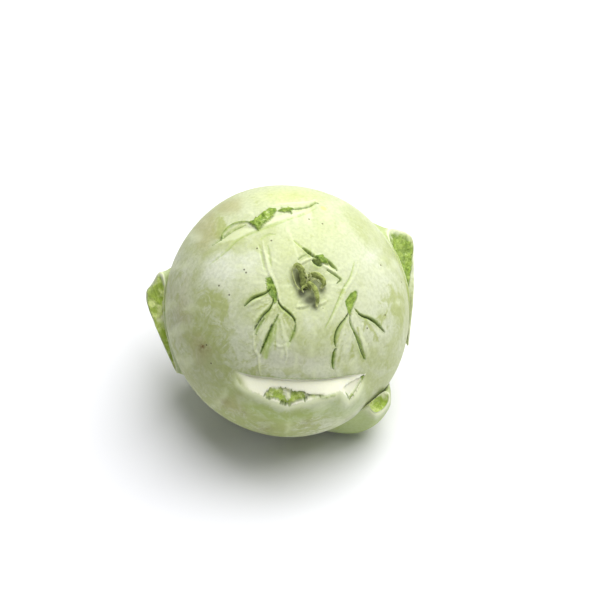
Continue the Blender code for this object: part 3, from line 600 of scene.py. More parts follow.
def directions_at(places):
    """Directions from the middle to places seen on the face side."""
    places = np.asarray(places, float)
    depth = np.full(places.shape[:-1], DEPTH_GUESS * EQUATOR_RADIUS)
    for _ in range(DEPTH_STEPS):
        flat = places * (1.0 - depth / FACE_DISTANCE)[..., None]
        directions = unit(np.concatenate([flat, depth[..., None]], axis=-1)) @ FACE.T
        out = base_radius(directions)
        depth = 0.5 * depth + 0.5 * np.sqrt(np.maximum(out**2 - (flat**2).sum(axis=-1), 1.0))
    return directions


def seen_at(points):
    """Places of points as seen on the face side."""
    face = points @ FACE
    return face[:, :2] * (FACE_DISTANCE / (FACE_DISTANCE - face[:, 2:3]))


def curve_through(places, steps, closed=False):
    """Smooth row of points through the given ones."""
    places = np.asarray(places, float)
    if closed:
        padded = np.concatenate([places[-1:], places, places[:2]])
    else:
        before = 2.0 * places[:1] - places[1:2]
        after = 2.0 * places[-1:] - places[-2:-1]
        padded = np.concatenate([before, places, after])
    t = (np.arange(steps) / steps)[:, None]
    found = []
    for a, b, c, d in zip(padded, padded[1:], padded[2:], padded[3:]):
        bend = (2.0 * a - 5.0 * b + 4.0 * c - d) * t**2 + (3.0 * b - a - 3.0 * c + d) * t**3
        found.append(b + 0.5 * ((c - a) * t + bend))
    if not closed:
        found.append(places[-1:])
    return np.concatenate(found)


def on_base(directions):
    return directions * base_radius(directions)[..., None]


def line_on_base(places, turn=None, steps=LINE_CURVE_STEPS):
    directions = directions_at(curve_through(places, steps))
    return on_base(directions if turn is None else directions @ turn.T)


def outline_on_base(outline, turn=None):
    """Closed outline on the skin, straight from place to place."""
    return line_on_base(outline + outline[:1], turn, steps=1)


def measured(line):
    """Lengths of a line's stretches, and how far along it each of its points is."""
    lengths = np.linalg.norm(np.diff(line, axis=0), axis=1)
    return lengths, np.concatenate([[0.0], np.cumsum(lengths)])


def line_field(points, line, reach):
    """Distance of each point to a line, its share along it, and its side (positive to the left)."""
    best = np.full(len(points), FAR_AWAY)
    share = np.zeros(len(points))
    side = np.zeros(len(points))
    centre = line.mean(axis=0)
    extent = np.linalg.norm(line - centre, axis=1).max() + reach
    near = np.flatnonzero(np.linalg.norm(points - centre, axis=1) < extent)
    lengths, starts = measured(line)
    close = points[near]
    for i, length in enumerate(lengths):
        way = (line[i + 1] - line[i]) / length
        offset = close - line[i]
        along = np.clip(offset @ way, 0.0, length)
        gap = offset - along[:, None] * way
        distance = np.sqrt((gap * gap).sum(axis=1))
        nearer = distance < best[near]
        picked = near[nearer]
        best[picked] = distance[nearer]
        share[picked] = (starts[i] + along[nearer]) / starts[-1]
        side[picked] = np.sign(gap[nearer] @ np.cross(line[i], way))
    return best, share, side


def distance_to(points, line, reach):
    return line_field(points, line, reach)[0]


def inside(places, outline):
    """Which places lie inside a closed outline."""
    outline = np.asarray(outline)
    found = np.zeros(len(places), bool)
    for (ax, ay), (bx, by) in zip(outline, np.roll(outline, -1, axis=0)):
        if ay == by:
            continue
        crosses = (ay > places[:, 1]) != (by > places[:, 1])
        found ^= crosses & (places[:, 0] < (bx - ax) * (places[:, 1] - ay) / (by - ay) + ax)
    return found


def faded(share, fade):
    return smooth(share / fade) * smooth((1.0 - share) / fade)


def line_shape(points, half_width, height, line, ragged):
    """Relief of a groove with low banks, or of a rib, and how much of its look each point has."""
    distance, share, _ = line_field(points, line, LINE_REACH * half_width)
    width = half_width * (LINE_TIP + (1.0 - LINE_TIP) * faded(share, LINE_TAPER))
    distance = np.maximum(distance + RAGGED * half_width * ragged, 0.0) / width
    ends = faded(share, LINE_FADE)
    if height < 0.0:
        profile = np.exp(-(distance**GROOVE_POWER)) - BANK_SHARE * bell(distance - BANK_PLACE, BANK_WIDTH)
    else:
        sides = RIB_SIDE_SHARE * bell(distance - RIB_SIDE_PLACE, RIB_SIDE_WIDTH)
        profile = bell(distance, 1.0) - sides
    shown = bell(distance, LOOK_WIDTH) * soft(ends, LINE_ENDS)
    return height * profile * ends, shown, bell(distance, HALO_WIDTH) * ends


def area_shape(points, places, outline):
    """Share of a closed area's full height at each point, with sloping edges."""
    distance = distance_to(points, outline_on_base(outline), AREA_REACH)
    return np.where(inside(places, outline), smooth(distance / PITH_EDGE), 0.0)


def shelf_parts(directions, ragged):
    """Distances to the lines of the broad cut scar, and masks of its parts."""
    points = on_base(directions)
    places = seen_at(points)
    facing = directions @ FACE[:, 2] > SHELF_FACING
    crease, share, side = line_field(points, line_on_base(CREASE), SHELF_REACH)
    lip, lip_share, _ = line_field(points, line_on_base(LIP, steps=1), SHELF_REACH)
    within = inside(places, CREASE + LIP[-2:0:-1]) & facing
    torn = np.where(inside(places + TORN_SHIFT * ragged[:, None], TORN) & within, 1.0, 0.0)
    streak = distance_to(points, line_on_base(TORN_STREAK), EDGE_REACH)
    torn = np.maximum(torn, STREAK_SHARE * bell(streak + STREAK_RAGGED * ragged, STREAK_WIDTH))
    return types.SimpleNamespace(
        points=points, places=places, crease=crease, share=share, lip=lip, lip_share=lip_share,
        within=within, torn=torn, ends=faded(share, SHELF_FADE),
        above=facing & (side > 0.0) & ~within, below=facing & (side <= 0.0) & ~within,
    )


def shelf_relief(part, ragged):
    """Height of the broad cut scar: a crease, a cut band rising to a lip, and the swelling below the lip."""
    slab = np.where(inside(part.places, SLAB) & part.within, 1.0, 0.0)
    rise = (BAND_SHARE * LIP_RISE + CREASE_DEPTH) * part.ends
    band = -CREASE_DEPTH * part.ends + rise * part.crease / np.maximum(part.crease + part.lip, 0.01)
    band = band - part.torn * TORN_DEPTH * (1.0 + TORN_ROUGH * ragged) - slab * SLAB_DEPTH
    bank = BANK_HEIGHT * bell(part.crease - BANK_AWAY, BANK_SPREAD)
    above = part.ends * (bank - CREASE_DEPTH * bell(part.crease, CREASE_WIDTH))
    rise = LIP_START + LIP_SWELL * smooth(part.lip / LIP_FLAT)
    under = LIP_RISE * faded(part.lip_share, SHELF_FADE) * rise
    below = under * bell(np.maximum(part.lip - LIP_FLAT, 0.0), LIP_REACH)
    return np.select((part.within, part.above, part.below), (band, above, below), 0.0)


def shelf_looks(part, ragged):
    """How much of each look the broad cut scar has, with painted shade over the crease and a painted
    highlight along the lip.
    """
    flat = np.where(part.within, 1.0, 0.0)
    corner = smooth(1.0 - distance_to(part.points, outline_on_base(SLAB), EDGE_REACH) / SLAB_EDGE)
    corner = corner * flat * (part.places[:, 0] > SLAB_START)
    corner = corner * np.where(np.abs(part.places[:, 1] + SLAB_MIDDLE) > SLAB_HALF, 1.0, SLAB_FAINT)
    torn_edge = distance_to(part.points, outline_on_base(TORN), EDGE_REACH)
    dark = DARK_SHARE * part.torn * bell(np.maximum(torn_edge + DARK_RAGGED * ragged, 0.0), TORN_EDGE)
    dark = dark * soft(ragged, SHELF_DARK)
    # Just over the crease: a lime line, and painted shade in crack colour under the overhanging skin
    over = CREASE_LIME_AND_SHADE * part.ends * bell(part.crease - CREASE_AWAY, CREASE_SPREAD)
    white = part.torn * soft(rough_noise(part.points, *SHELF_NOISE), SHELF_WHITE)
    clean = np.maximum(1.0 - part.torn, white) * (1.0 - corner)
    beyond = BEYOND_SHARE * bell(part.lip - BEYOND_AWAY, BEYOND_SPREAD) * faded(part.lip_share, BEYOND_FADE)
    return {
        "torn": np.maximum(part.torn * (1.0 - TORN_WHITE * white), corner),
        "cut": flat * clean * smooth(part.share / CUT_START - CUT_SLANT * part.crease),
        "fresh": TORN_FRESH * part.torn,
        "crack": np.maximum(dark, np.where(part.above, CREASE_SHADE_SHARE * over, 0.0)),
        # Painted highlight: a pale line along the lip
        "pale": np.where(part.below, bell(part.lip, LIP_HIGHLIGHT_WIDTH) * faded(part.lip_share, LIP_HIGHLIGHT_FADE), 0.0),
        "lime": np.select((part.above, part.below), (over, beyond), 0.0),
    }


def raise_look(looks, name, share):
    looks[name] = np.maximum(looks[name], share)


def distance_to_place(points, place):
    return np.linalg.norm(points - on_base(directions_at(place)), axis=1)


def add_lines(radius, looks, points, ragged):
    """Grooves and ribs of the leaf scars, and those of the claw scar on the hidden side."""
    back = turn_between(CLAW_PLACE, BACK_CLAW_MIDDLE)
    lines = [(line, None) for line in FRONT_LINES] + [(line, back) for line in LEFT_SCAR]
    for (half_width, height, look, strength, places), turn in lines:
        line = line_on_base(places, turn)
        relief, share, halo = line_shape(points, half_width, height, line, ragged)
        radius = radius + relief
        raise_look(looks, look, strength * share)
        if look == "crack":
            raise_look(looks, "lime", HALO_SHARE * strength * halo)
    return radius


def add_pith(radius, looks, points, facing, ragged):
    """Torn pith at the scars, and the sunk pale band at the top left."""
    places = seen_at(points)
    fringed = places + PITH_RAGGED * np.stack([ragged, rough_noise(points, *FRINGE_NOISE)], axis=1)
    for height, roughness, look, outline in PITH_AREAS:
        share = np.where(facing, area_shape(points, fringed, outline), 0.0)
        radius = radius + share * (height + roughness * ragged)
        raise_look(looks, look, soft(share, PITH_SHOWN))
    band = np.where(facing, area_shape(points, places, BAND_OUTLINE), 0.0)
    raise_look(looks, "pale", BAND_STRENGTH * band)
    return radius - BAND_DEPTH * band


def skin_shape(directions):
    """Distance from the middle to the skin with all scars, and how much of each look a place has."""
    points = on_base(directions)
    facing = directions @ FACE[:, 2] > SKIN_FACING
    ragged = rough_noise(points, *RAGGED_NOISE)
    looks = {name: np.zeros(len(points)) for name in LOOKS}
    from_tip = distance_to_place(points, TIP_PLACE)
    radius = base_radius(directions) - TIP_HOLLOW_DEPTH * bell(from_tip, TIP_HOLLOW_RADIUS)
    radius = radius - CROWN_DIP_DEPTH * bell(from_tip, CROWN_DIP_RADIUS)
    radius = add_lines(radius, looks, points, ragged)
    radius = add_pith(radius, looks, points, facing, ragged)
    u, v, width, rise = DROPLET
    radius = radius + rise * bell(distance_to_place(points, (u, v)), width)
    for turned in (directions, directions @ turn_between(SHELF_PLACE, BACK_SHELF_MIDDLE)):
        part = shelf_parts(turned, ragged)
        radius = radius + shelf_relief(part, ragged)
        for look, share in shelf_looks(part, ragged).items():
            raise_look(looks, look, share)
    down = np.maximum(-directions[:, 2], 0.01)
    return np.minimum(radius, REST_DEPTH / down), looks


def on_skin(directions):
    return directions * skin_shape(directions)[0][:, None]


def evenly_along(line, spacing):
    """Points along a line at an even spacing."""
    _, starts = measured(line)
    count = max(2, int(round(starts[-1] / spacing)) + 1)
    wanted = np.linspace(0.0, starts[-1], count)
    return np.stack([np.interp(wanted, starts, line[:, k]) for k in range(3)], axis=1)


def feature_lines():
    """Every line that gets its own row of points, with the reach of its finest spacing and that spacing."""
    back = turn_between(CLAW_PLACE, BACK_CLAW_MIDDLE)
    found = []
    for lines, turn in ((FRONT_LINES, None), (LEFT_SCAR, back)):
        for half_width, _, _, _, line_places in lines:
            spacing = min(max(LINE_SPACING * half_width, FINEST), FINE)
            found.append((line_on_base(line_places, turn), LINE_FINE * half_width, spacing))
    for turn in (np.eye(3), turn_between(SHELF_PLACE, BACK_SHELF_MIDDLE)):
        found.append((line_on_base(CREASE, turn), CREASE_FINE, FINE))
        found.append((line_on_base(LIP, turn, steps=1), LIP_FINE, FINE))
        found.append((outline_on_base(TORN, turn), TORN_FINE, FINE))
        found.append((line_on_base(TORN_STREAK, turn), CREASE_FINE, FINEST))
        found.append((outline_on_base(SLAB, turn), CREASE_FINE, FINEST))
    return found + [(outline_on_base(area[3]), PITH_FINE, FINE) for area in PITH_AREAS]


def circle_angles(count):
    return np.linspace(0.0, FULL_TURN, count, endpoint=False)


def rest_circle():
    """Points where the skin meets the flat spot it rests on."""
    lowest = -CROWN * ROOT_HEIGHT**2 * CROWN[2]
    across = np.array((0.0, 0.0, 1.0)) - CROWN * CROWN[2]
    lowest = unit(-(EQUATOR_RADIUS**2) * across + lowest)
    side = unit(np.cross(lowest, (1.0, 0.0, 0.0)))
    other = np.cross(lowest, side)
    angles = circle_angles(REST_SIDES)
    ways = np.cos(angles)[:, None] * side + np.sin(angles)[:, None] * other
    near = np.zeros(REST_SIDES)
    far = np.full(REST_SIDES, REST_WIDEST)
    for _ in range(REST_STEPS):
        middle = 0.5 * (near + far)
        directions = unit(lowest + np.tan(middle)[:, None] * ways)
        low = -base_radius(directions) * directions[:, 2] > REST_DEPTH
        near = np.where(low, middle, near)
        far = np.where(low, far, middle)
    return directions


def fibonacci_directions(spacing):
    count = int(4.0 * math.pi * EQUATOR_RADIUS**2 / (TRIANGLE_HEIGHT * spacing**2))
    step = np.arange(count) + 0.5
    height = 1.0 - 2.0 * step / count
    out = np.sqrt(1.0 - height**2)
    turn = step * GOLDEN_ANGLE
    return np.stack([out * np.cos(turn), out * np.sin(turn), height], axis=1)


def wanted_spacing(points, lines):
    spacing = np.full(len(points), COARSE)
    for line, reach, finest in lines:
        distance = distance_to(points, line, reach + COARSE / SPACING_GROWTH)
        spacing = np.minimum(spacing, finest + SPACING_GROWTH * np.maximum(distance - reach, 0.0))
    from_tip = distance_to_place(points, TIP_PLACE)
    return np.minimum(spacing, TIP_SPACING + SPACING_GROWTH * np.maximum(from_tip - TIP_HOLLOW_RADIUS, 0.0))


def surface_directions(loops, axes):
    """Directions of all free surface points: rows along the features first, then even filling."""
    lines = feature_lines()
    rows = [unit(evenly_along(line, finest)) for line, _, finest in lines]
    fine = fibonacci_directions(FINE_CANDIDATES)
    fine = fine[wanted_spacing(on_base(fine), lines) < FINE_UNTIL]
    directions = np.concatenate(rows + [fine, fibonacci_directions(COARSE_CANDIDATES)])
    points = on_base(directions)
    spacing = wanted_spacing(points, lines)
    free = np.ones(len(points), bool)
    tree = tree_of(points)
    for loop, axis in zip(loops, axes):
        free &= ~in_loop(directions, loop, axis)
        around = on_base(loop)
        step = np.linalg.norm(around[1] - around[0])
        for point in around:
            for _, j, _ in tree.find_range(point, step):
                free[j] = False
    return directions[thinned(tree, points, spacing, free)]


def tree_of(points):
    tree = kdtree.KDTree(len(points))
    for i, point in enumerate(points):
        tree.insert(point, i)
    tree.balance()
    return tree


def thinned(tree, points, spacing, free):
    """Indices kept so that no two points are nearer than the wanted spacing."""
    kept = []
    for i in range(len(points)):
        if not free[i]:
            continue
        kept.append(i)
        for _, j, distance in tree.find_range(points[i], spacing[i]):
            if distance < spacing[j]:
                free[j] = False
    return np.array(kept)


def plane_places(directions, axis):
    """Directions as places in a plane, seen from the far side of the axis."""
    side = unit(np.cross(axis, (0.0, 1.0, 0.3)))
    other = np.cross(axis, side)
    spread = 1.0 + directions @ axis
    places = np.stack([directions @ side, directions @ other], axis=-1)
    return places / np.maximum(spread, 1e-6)[..., None]


def in_loop(directions, loop, axis):
    near = directions @ axis > 0.0
    return near & inside(plane_places(directions, axis), plane_places(loop, axis))


def ellipse_loop(middle, long_way, half_sizes, sectors):
    """Directions round an oval on the skin, starting at the long way's end and turning to the crown."""
    long_way = unit(long_way - middle * (long_way @ middle))
    short_way = np.cross(middle, long_way)
    if short_way @ CROWN < 0.0:
        short_way = -short_way
    angles = circle_angles(sectors)
    across = half_sizes[0] / EQUATOR_RADIUS * np.cos(angles)
    up = half_sizes[1] / EQUATOR_RADIUS * np.sin(angles)
    return unit(middle + across[:, None] * long_way + up[:, None] * short_way), angles


def stub_base(stub):
    middle = FACE @ unit(stub["middle"])
    long_way = FACE @ unit(stub["long_way"])
    loop, angles = ellipse_loop(middle, long_way, stub["half_sizes"], STUB_SECTORS)
    return loop, angles, middle


def wall_between(start, start_way, end_way, end, rings):
    """Rings of a curved wall, without its first and with its last ring."""
    found = []
    for k in range(1, rings + 1):
        t = k / rings
        s = 1.0 - t
        ring = s**3 * start + 3.0 * s**2 * t * (start + start_way)
        found.append(ring + 3.0 * s * t**2 * (end - end_way) + t**3 * end)
    return found


def wall_looks(stub, axil, share):
    """Looks of one ring of a stub's wall, at a share of the way from the skin to the rim."""
    green = stub["green"] * soft(share, WALL_GREEN) * soft(share, WALL_GREEN_END)
    return {
        # Painted highlight near the rim
        "pale": np.full(len(axil), WALL_RIM_HIGHLIGHT_SHARE * soft(share, WALL_RIM_HIGHLIGHT)),
        "lime": np.full(len(axil), green),
        # Painted shade in the crease on the crown side
        "crack": stub["crease"] * soft(axil, WALL_CREASE_SHADE) * bell(share, WALL_CREASE_SHADE_WIDTH),
    }


def stub_wall(stub, loop, angles, middle, points):
    """Rim of a stalk stub, and the rings of its wall with their looks."""
    start = on_skin(loop)
    rim = curve_through(stub["rim"], STUB_SECTORS // 8, closed=True) @ FACE.T
    rim = rim + (RIM_ROUGH * rough_noise(rim, *RIM_NOISE))[:, None] * points
    length = np.linalg.norm(rim - start, axis=1)[:, None]
    inwards = unit(middle - loop * (loop @ middle)[:, None])
    axil = soft(np.sin(angles), AXIL_SIDE)[:, None]
    chord = AXIL_SHARE * (rim - start)
    sideways = unit(middle - points * (middle @ points))
    leaving = (1.0 - stub["swell"]) * FLARE_START * inwards + stub["swell"] * sideways
    start_way = (1.0 - axil) * length * leaving + axil * (chord + AXIL_LIFT * loop)
    end_way = (1.0 - axil) * FLARE_END * length * points + axil * chord
    looks = [wall_looks(stub, axil[:, 0], (k + 1) / WALL_RINGS) for k in range(WALL_RINGS)]
    return rim, wall_between(start, start_way, end_way, rim, WALL_RINGS), looks


def skin_share(stub, angles):
    """How much of the cut face stays skin, round its edge."""
    edge, side_edge, side_angle = stub["skin_edge"]
    turned = (angles - math.radians(side_angle) + math.pi) % FULL_TURN - math.pi
    return edge + side_edge * bell(turned, SKIN_EDGE_WIDTH)


def cut_face(stub, angles, rim, points):
    """Rings of the torn cut face of a stub with their looks, and its last point."""
    centre = rim.mean(axis=0)
    shares, depths = zip(*CUT_HOLLOW)
    skin_width = skin_share(stub, angles)
    rings = []
    looks = []
    for k in range(1, CUT_RINGS):
        share = 1.0 - k / CUT_RINGS
        ring = centre + share * (rim - centre)
        ragged = CUT_RAGGED * rough_noise(ring, *CUT_EDGE_NOISE)
        torn = smooth((1.0 - skin_width - share + ragged) * CUT_GAIN)
        tears = rough_noise(ring * np.array(TEAR_STRETCH), *TEAR_NOISE)
        lift = np.interp(share, shares, depths) * stub["hollow"] + torn * TEAR_HEIGHT * tears
        rings.append(ring + lift[:, None] * points)
        white = soft(rough_noise(ring, *WHITE_NOISE), CUT_PALE)
        flaps = soft(rough_noise(ring, *FLAP_NOISE), CUT_FLAPS) * bell(share - FLAPS_PLACE, FLAPS_WIDTH)
        flaps = flaps * (FLAPS_LOW + FLAPS_RISE * soft(np.sin(angles), FLAPS_SIDE))
        white = np.maximum(white, flaps) * torn
        shown = torn * (1.0 - WHITE_COVER * white)
        looks.append({"torn": shown, "cut": WHITE_SHARE * white, "fresh": torn * stub["fresh"]})
    return rings, looks, centre - stub["hollow"] * points


def stub_rings(stub):
    """Rings of a stalk stub from its base loop inwards with their looks, and its last point."""
    loop, angles, middle = stub_base(stub)
    points = FACE @ unit(stub["points"])
    rim, wall, wall_masks = stub_wall(stub, loop, angles, middle, points)
    rings, looks, last = cut_face(stub, angles, rim, points)
    return wall + rings, wall_masks + looks, last


def root_base():
    middle = -CROWN
    half = (ROOT_BASE_RADIUS, ROOT_BASE_RADIUS)
    loop, _ = ellipse_loop(middle, FACE[:, 0], half, ROOT_SECTORS)
    return loop, middle


def root_rings():
    """Rings of the cut root from its base loop inwards with their looks, and its last point."""
    loop, middle = root_base()
    start = on_skin(loop)
    outwards = unit(loop - middle * (loop @ middle)[:, None])
    rim = ROOT_REACH * middle + ROOT_RADIUS * outwards
    length = np.linalg.norm(rim - start, axis=1)[:, None]
    inwards = -unit(outwards - loop * (outwards * loop).sum(axis=1)[:, None])
    rings = wall_between(start, 0.5 * length * inwards, 0.5 * length * middle, rim, ROOT_WALL_RINGS)
    shown = [soft((k + 1) / ROOT_WALL_RINGS, ROOT_SHOWN) for k in range(ROOT_WALL_RINGS)]
    looks = [{"root": np.full(len(start), share)} for share in shown]
    centre = ROOT_REACH * middle
    shares, rises = zip(*ROOT_RISE)
    for k in range(1, ROOT_CUT_RINGS):
        share = 1.0 - k / ROOT_CUT_RINGS
        ring = centre + share * ROOT_RADIUS * outwards
        lift = np.interp(share, shares, rises) + ROOT_ROUGH * rough_noise(ring, *ROOT_NOISE)
        lift = lift + ROOT_RING_HEIGHT * math.sin(ROOT_RING_PACE * share)
        rings.append(ring + lift[:, None] * middle)
        looks.append({"root": np.ones(len(ring))})
    return rings, looks, centre + ROOT_RISE[0][1] * middle


def stem_triangles(directions, loops):
    """Triangles over the whole skin, leaving the stub and root bases open."""
    places = plane_places(directions, CROWN)
    edges = []
    owner = np.full(len(directions), -1)
    start = 0
    for number, loop in enumerate(loops):
        count = len(loop)
        edges += [(start + k, start + (k + 1) % count) for k in range(count)]
        owner[start : start + count] = number
        start += count
    flat = [Vector(place) for place in places]
    made = delaunay_2d_cdt(flat, edges, [], 0, 1e-9)
    origin = [indices[0] for indices in made[3]]
    triangles = np.array([[origin[k] for k in face] for face in made[2]])
    owners = owner[triangles]
    same = (owners[:, 0] >= 0) & (owners[:, 0] == owners[:, 1]) & (owners[:, 1] == owners[:, 2])
    drop = np.zeros(len(triangles), bool)
    middles = unit(directions[triangles].sum(axis=1))
    for number, loop in enumerate(loops):
        axis = unit(loop.mean(axis=0))
        drop |= same & (owners[:, 0] == number) & in_loop(middles, loop, axis)
    return triangles[~drop]


def bridge(outer, inner):
    """Triangles between two rings of indices."""
    count = len(outer)
    found = []
    for k in range(count):
        following = (k + 1) % count
        found.append((outer[k], outer[following], inner[following]))
        found.append((outer[k], inner[following], inner[k]))
    return found


def fan(ring, last):
    """Triangles from a ring of indices to one point."""
    return [(a, b, last) for a, b in zip(ring, ring[1:] + ring[:1])]


def add_patch(rings, ring_looks, last, loop, points, triangles, looks):
    """Adds a stub or the root, ring by ring, inwards from its base loop."""
    total = sum(len(row) for row in points)
    outer = loop
    ring_looks = ring_looks + [{name: value[:1] for name, value in ring_looks[-1].items()}]
    for ring, found in zip(rings + [last[None, :]], ring_looks):
        for name in LOOKS:
            looks[name].append(found.get(name, np.zeros(len(ring))))
        points.append(ring)
        inner = list(range(total, total + len(ring)))
        total += len(ring)
        triangles += bridge(outer, inner) if len(ring) > 1 else fan(outer, inner[0])
        outer = inner


def stem_mesh():
    """Points, triangles and looks of the swollen stem."""
    bases = [stub_base(stub) for stub in STUBS]
    root_loop, root_middle = root_base()
    loops = [base[0] for base in bases] + [root_loop]
    axes = [base[2] for base in bases] + [root_middle]
    directions = np.concatenate(loops + [surface_directions(loops, axes)])
    radius, looks = skin_shape(directions)
    points = [directions * radius[:, None]]
    looks = {name: [values] for name, values in looks.items()}
    triangles = [tuple(face) for face in stem_triangles(directions, loops)]
    start = 0
    patches = [stub_rings(stub) for stub in STUBS] + [root_rings()]
    for loop, patch in zip(loops, patches):
        add_patch(*patch, list(range(start, start + len(loop))), points, triangles, looks)
        start += len(loop)
    points = np.concatenate(points)
    points[:, 2] = np.maximum(points[:, 2], -REST_DEPTH)
    return points, triangles, {name: np.concatenate(values) for name, values in looks.items()}


def rest_middle():
    """Middle of the flat spot that the stem rests on."""
    middle = on_base(rest_circle()).mean(axis=0)
    return np.array((middle[0], middle[1], -REST_DEPTH))


def srgb(red, green, blue):
    """Linear colour of a screen colour from 0 to 255."""
    values = [c / 255.0 for c in (red, green, blue)]
    linear = [c / 12.92 if c <= 0.04045 else ((c + 0.055) / 1.055) ** 2.4 for c in values]
    return (*linear, 1.0)


class Nodes:
    """Short calls for building one material's node tree."""

    def __init__(self, name):
        self.material = bpy.data.materials.new(name)
        self.material.use_nodes = True
        self.tree = self.material.node_tree
        self.shader = self.tree.nodes["Principled BSDF"]
        self.place = self.tree.nodes.new("ShaderNodeTexCoord").outputs["Object"]

    def put(self, node, values):
        """Links or sets inputs of a node."""
        for name, value in values.items():
            if isinstance(value, bpy.types.NodeSocket):
                self.tree.links.new(value, node.inputs[name])
            else:
                node.inputs[name].default_value = value

    def new(self, kind, values, **settings):
        node = self.tree.nodes.new("ShaderNode" + kind)
        for name, value in settings.items():
            setattr(node, name, value)
        self.put(node, values)
        return node

    def attribute(self, name):
        return self.new("Attribute", {}, attribute_name=name).outputs["Fac"]

    def noise(self, scale, detail, roughness=0.5, distortion=0.0):
        values = {"Vector": self.place, "Scale": scale, "Detail": detail}
        values.update({"Roughness": roughness, "Distortion": distortion})
        return self.new("TexNoise", values).outputs["Fac"]

    def ramp(self, value, low, high, start=0.0, end=1.0):
        values = {"Value": value, "From Min": low, "From Max": high, "To Min": start, "To Max": end}
        return self.new("MapRange", values, interpolation_type="SMOOTHSTEP").outputs["Result"]

    def blots(self, noise, shown):
        """Mask of the part of a noise that lies within a range."""
        return self.ramp(self.noise(*noise), *shown)

    def math(self, operation, a, b):
        return self.new("Math", {0: a, 1: b}, operation=operation).outputs[0]

    def product(self, a, b):
        return self.math("MULTIPLY", a, b)

    def mix(self, share, a, b):
        return self.new("Mix", {"Factor": share, "A": a, "B": b}, data_type="RGBA").outputs["Result"]

    def layered(self, colour, layers):
        """A colour with others laid over it, each where its point value says."""
        for name, over in layers:
            colour = self.mix(self.attribute(name), colour, over)
        return colour

    def specks(self, scale, size, rarity):
        """Mask of small round specks scattered at random."""
        cells = self.new("TexVoronoi", {"Vector": self.place, "Scale": scale})
        round_spot = self.ramp(cells.outputs["Distance"], size, 0.5 * size)
        split = self.new("SeparateColor", {"Color": cells.outputs["Color"]})
        return self.product(round_spot, self.math("GREATER_THAN", split.outputs["Red"], rarity))

    def dots(self, points, radius):
        """Mask of small round dots at given points of the skin."""
        mask = 0.0
        for point in points:
            away = self.new("VectorMath", {0: self.place, 1: tuple(point)}, operation="DISTANCE")
            mask = self.math("MAXIMUM", mask, self.ramp(away.outputs["Value"], radius, 0.6 * radius))
        return mask

    def bump(self, heights):
        """Bump from pairs of height and depth in metres."""
        values = {}
        for height, depth in heights:
            node = self.new("Bump", {"Distance": depth, "Height": height, **values})
            values = {"Normal": node.outputs["Normal"]}
        self.put(self.shader, values)


# Colours of the skin and of what the scars show
SKIN_GREEN = srgb(174, 185, 106)
SKIN_BLOOM = srgb(218, 223, 194)
SKIN_CROWN = srgb(200, 209, 156)
SKIN_WAXY = srgb(236, 240, 220)
CUT_WHITE = srgb(254, 255, 226)
PALE_RIB = srgb(236, 243, 200)
TORN_DARK = srgb(106, 136, 44)
TORN_LIME = srgb(150, 176, 72)
TORN_PALE = srgb(206, 220, 150)
FRESH_DARK = srgb(174, 198, 84)
FRESH_LIGHT = srgb(224, 236, 156)
CRACK_DARK = srgb(56, 78, 18)
LIME_LINE = srgb(160, 184, 82)
# Painted shade under the withered leaves
TIP_SHADE_DARK = srgb(84, 90, 52)
ROOT_PALE = srgb(206, 196, 156)
ROOT_BROWN = srgb(140, 112, 74)
SPECK_BROWN = srgb(84, 78, 46)
MARK_BROWN = srgb(116, 92, 40)
# Grey-lilac tone, and painted shade above the broad cut scar
GREY_AND_SHADE_COLOUR = srgb(176, 170, 166)
SKIN_TAN = srgb(182, 178, 122)
SKIN_YELLOW = srgb(214, 222, 144)
DOT_YELLOW = srgb(214, 224, 110)
GRAIN_GREEN = srgb(130, 142, 84)
DRY_GREEN = srgb(110, 120, 62)
DRY_LIGHT = srgb(156, 168, 92)
DRY_PALE = srgb(212, 218, 158)
# Dark spots on the withered leaves, also used as painted shade in their hollow
DRY_DARK_AND_SHADE = srgb(66, 70, 36)

# Noises: scale, detail, roughness and distortion. What shows of them: from, to, and the shares there
WAX = (38.0, 6.0, 0.62, 0.6)
WAX_SHOWN = (0.30, 0.62)
SCUFFS = (140.0, 5.0, 0.7, 1.4)
SCUFFS_SHOWN = (0.52, 0.70, 0.0, 0.35)
SCUFFS_RAGGED = (0.3, 0.7, 0.45, -0.45)
BARE_AND_SHADE_SHOWN = (0.25, 1.0)
BARE_AND_SHADE_SHARE = 0.8
BLOOM_SHOWN = (0.0, 1.0, 0.25, 1.0)
BLOOM_ROUGHNESS = (0.0, 1.0, 0.42, 0.62)
FINE_GRAIN = (900.0, 2.0, 0.5)
FINE_GRAIN_SHOWN = (0.35, 0.65, 0.0, 0.16)
GRAIN = (620.0, 4.0, 0.65)
GRAIN_TORN = (0.38, 0.60)
GRAIN_MARKS = (0.3, 0.6)
FIBRES = (330.0, 3.0, 0.6, 0.5)
FIBRES_SHOWN = (0.60, 0.72, 0.0, 0.8)
FRESH_FIBRES = (260.0, 3.0, 0.6, 0.4)
FRESH_SHOWN = (0.40, 0.62)
WOOD = (260.0, 4.0, 0.6)
WOOD_SHOWN = (0.38, 0.62)
PORES = (420.0, 3.0, 0.6)
SPECK_CELLS = (190.0, 0.055, 0.93)
SPECK_SHARES = (0.6, 0.85, 0.5)
SKIN_BUMPS = (0.00008, 0.00004, 0.0007, 0.0001)
SKIN_LAYERS = (("tan", SKIN_TAN), ("yellow", SKIN_YELLOW), ("bloom", SKIN_WAXY), ("grey_tone_and_shade", GREY_AND_SHADE_COLOUR))
SCAR_LAYERS = (("lime", LIME_LINE), ("pale", PALE_RIB), ("cut", CUT_WHITE))
SKIN_SHADING = {
    "Subsurface Weight": 0.15,
    "Subsurface Radius": (1.0, 0.9, 0.35),
    "Subsurface Scale": 0.003,
    "Specular IOR Level": 0.35,
}


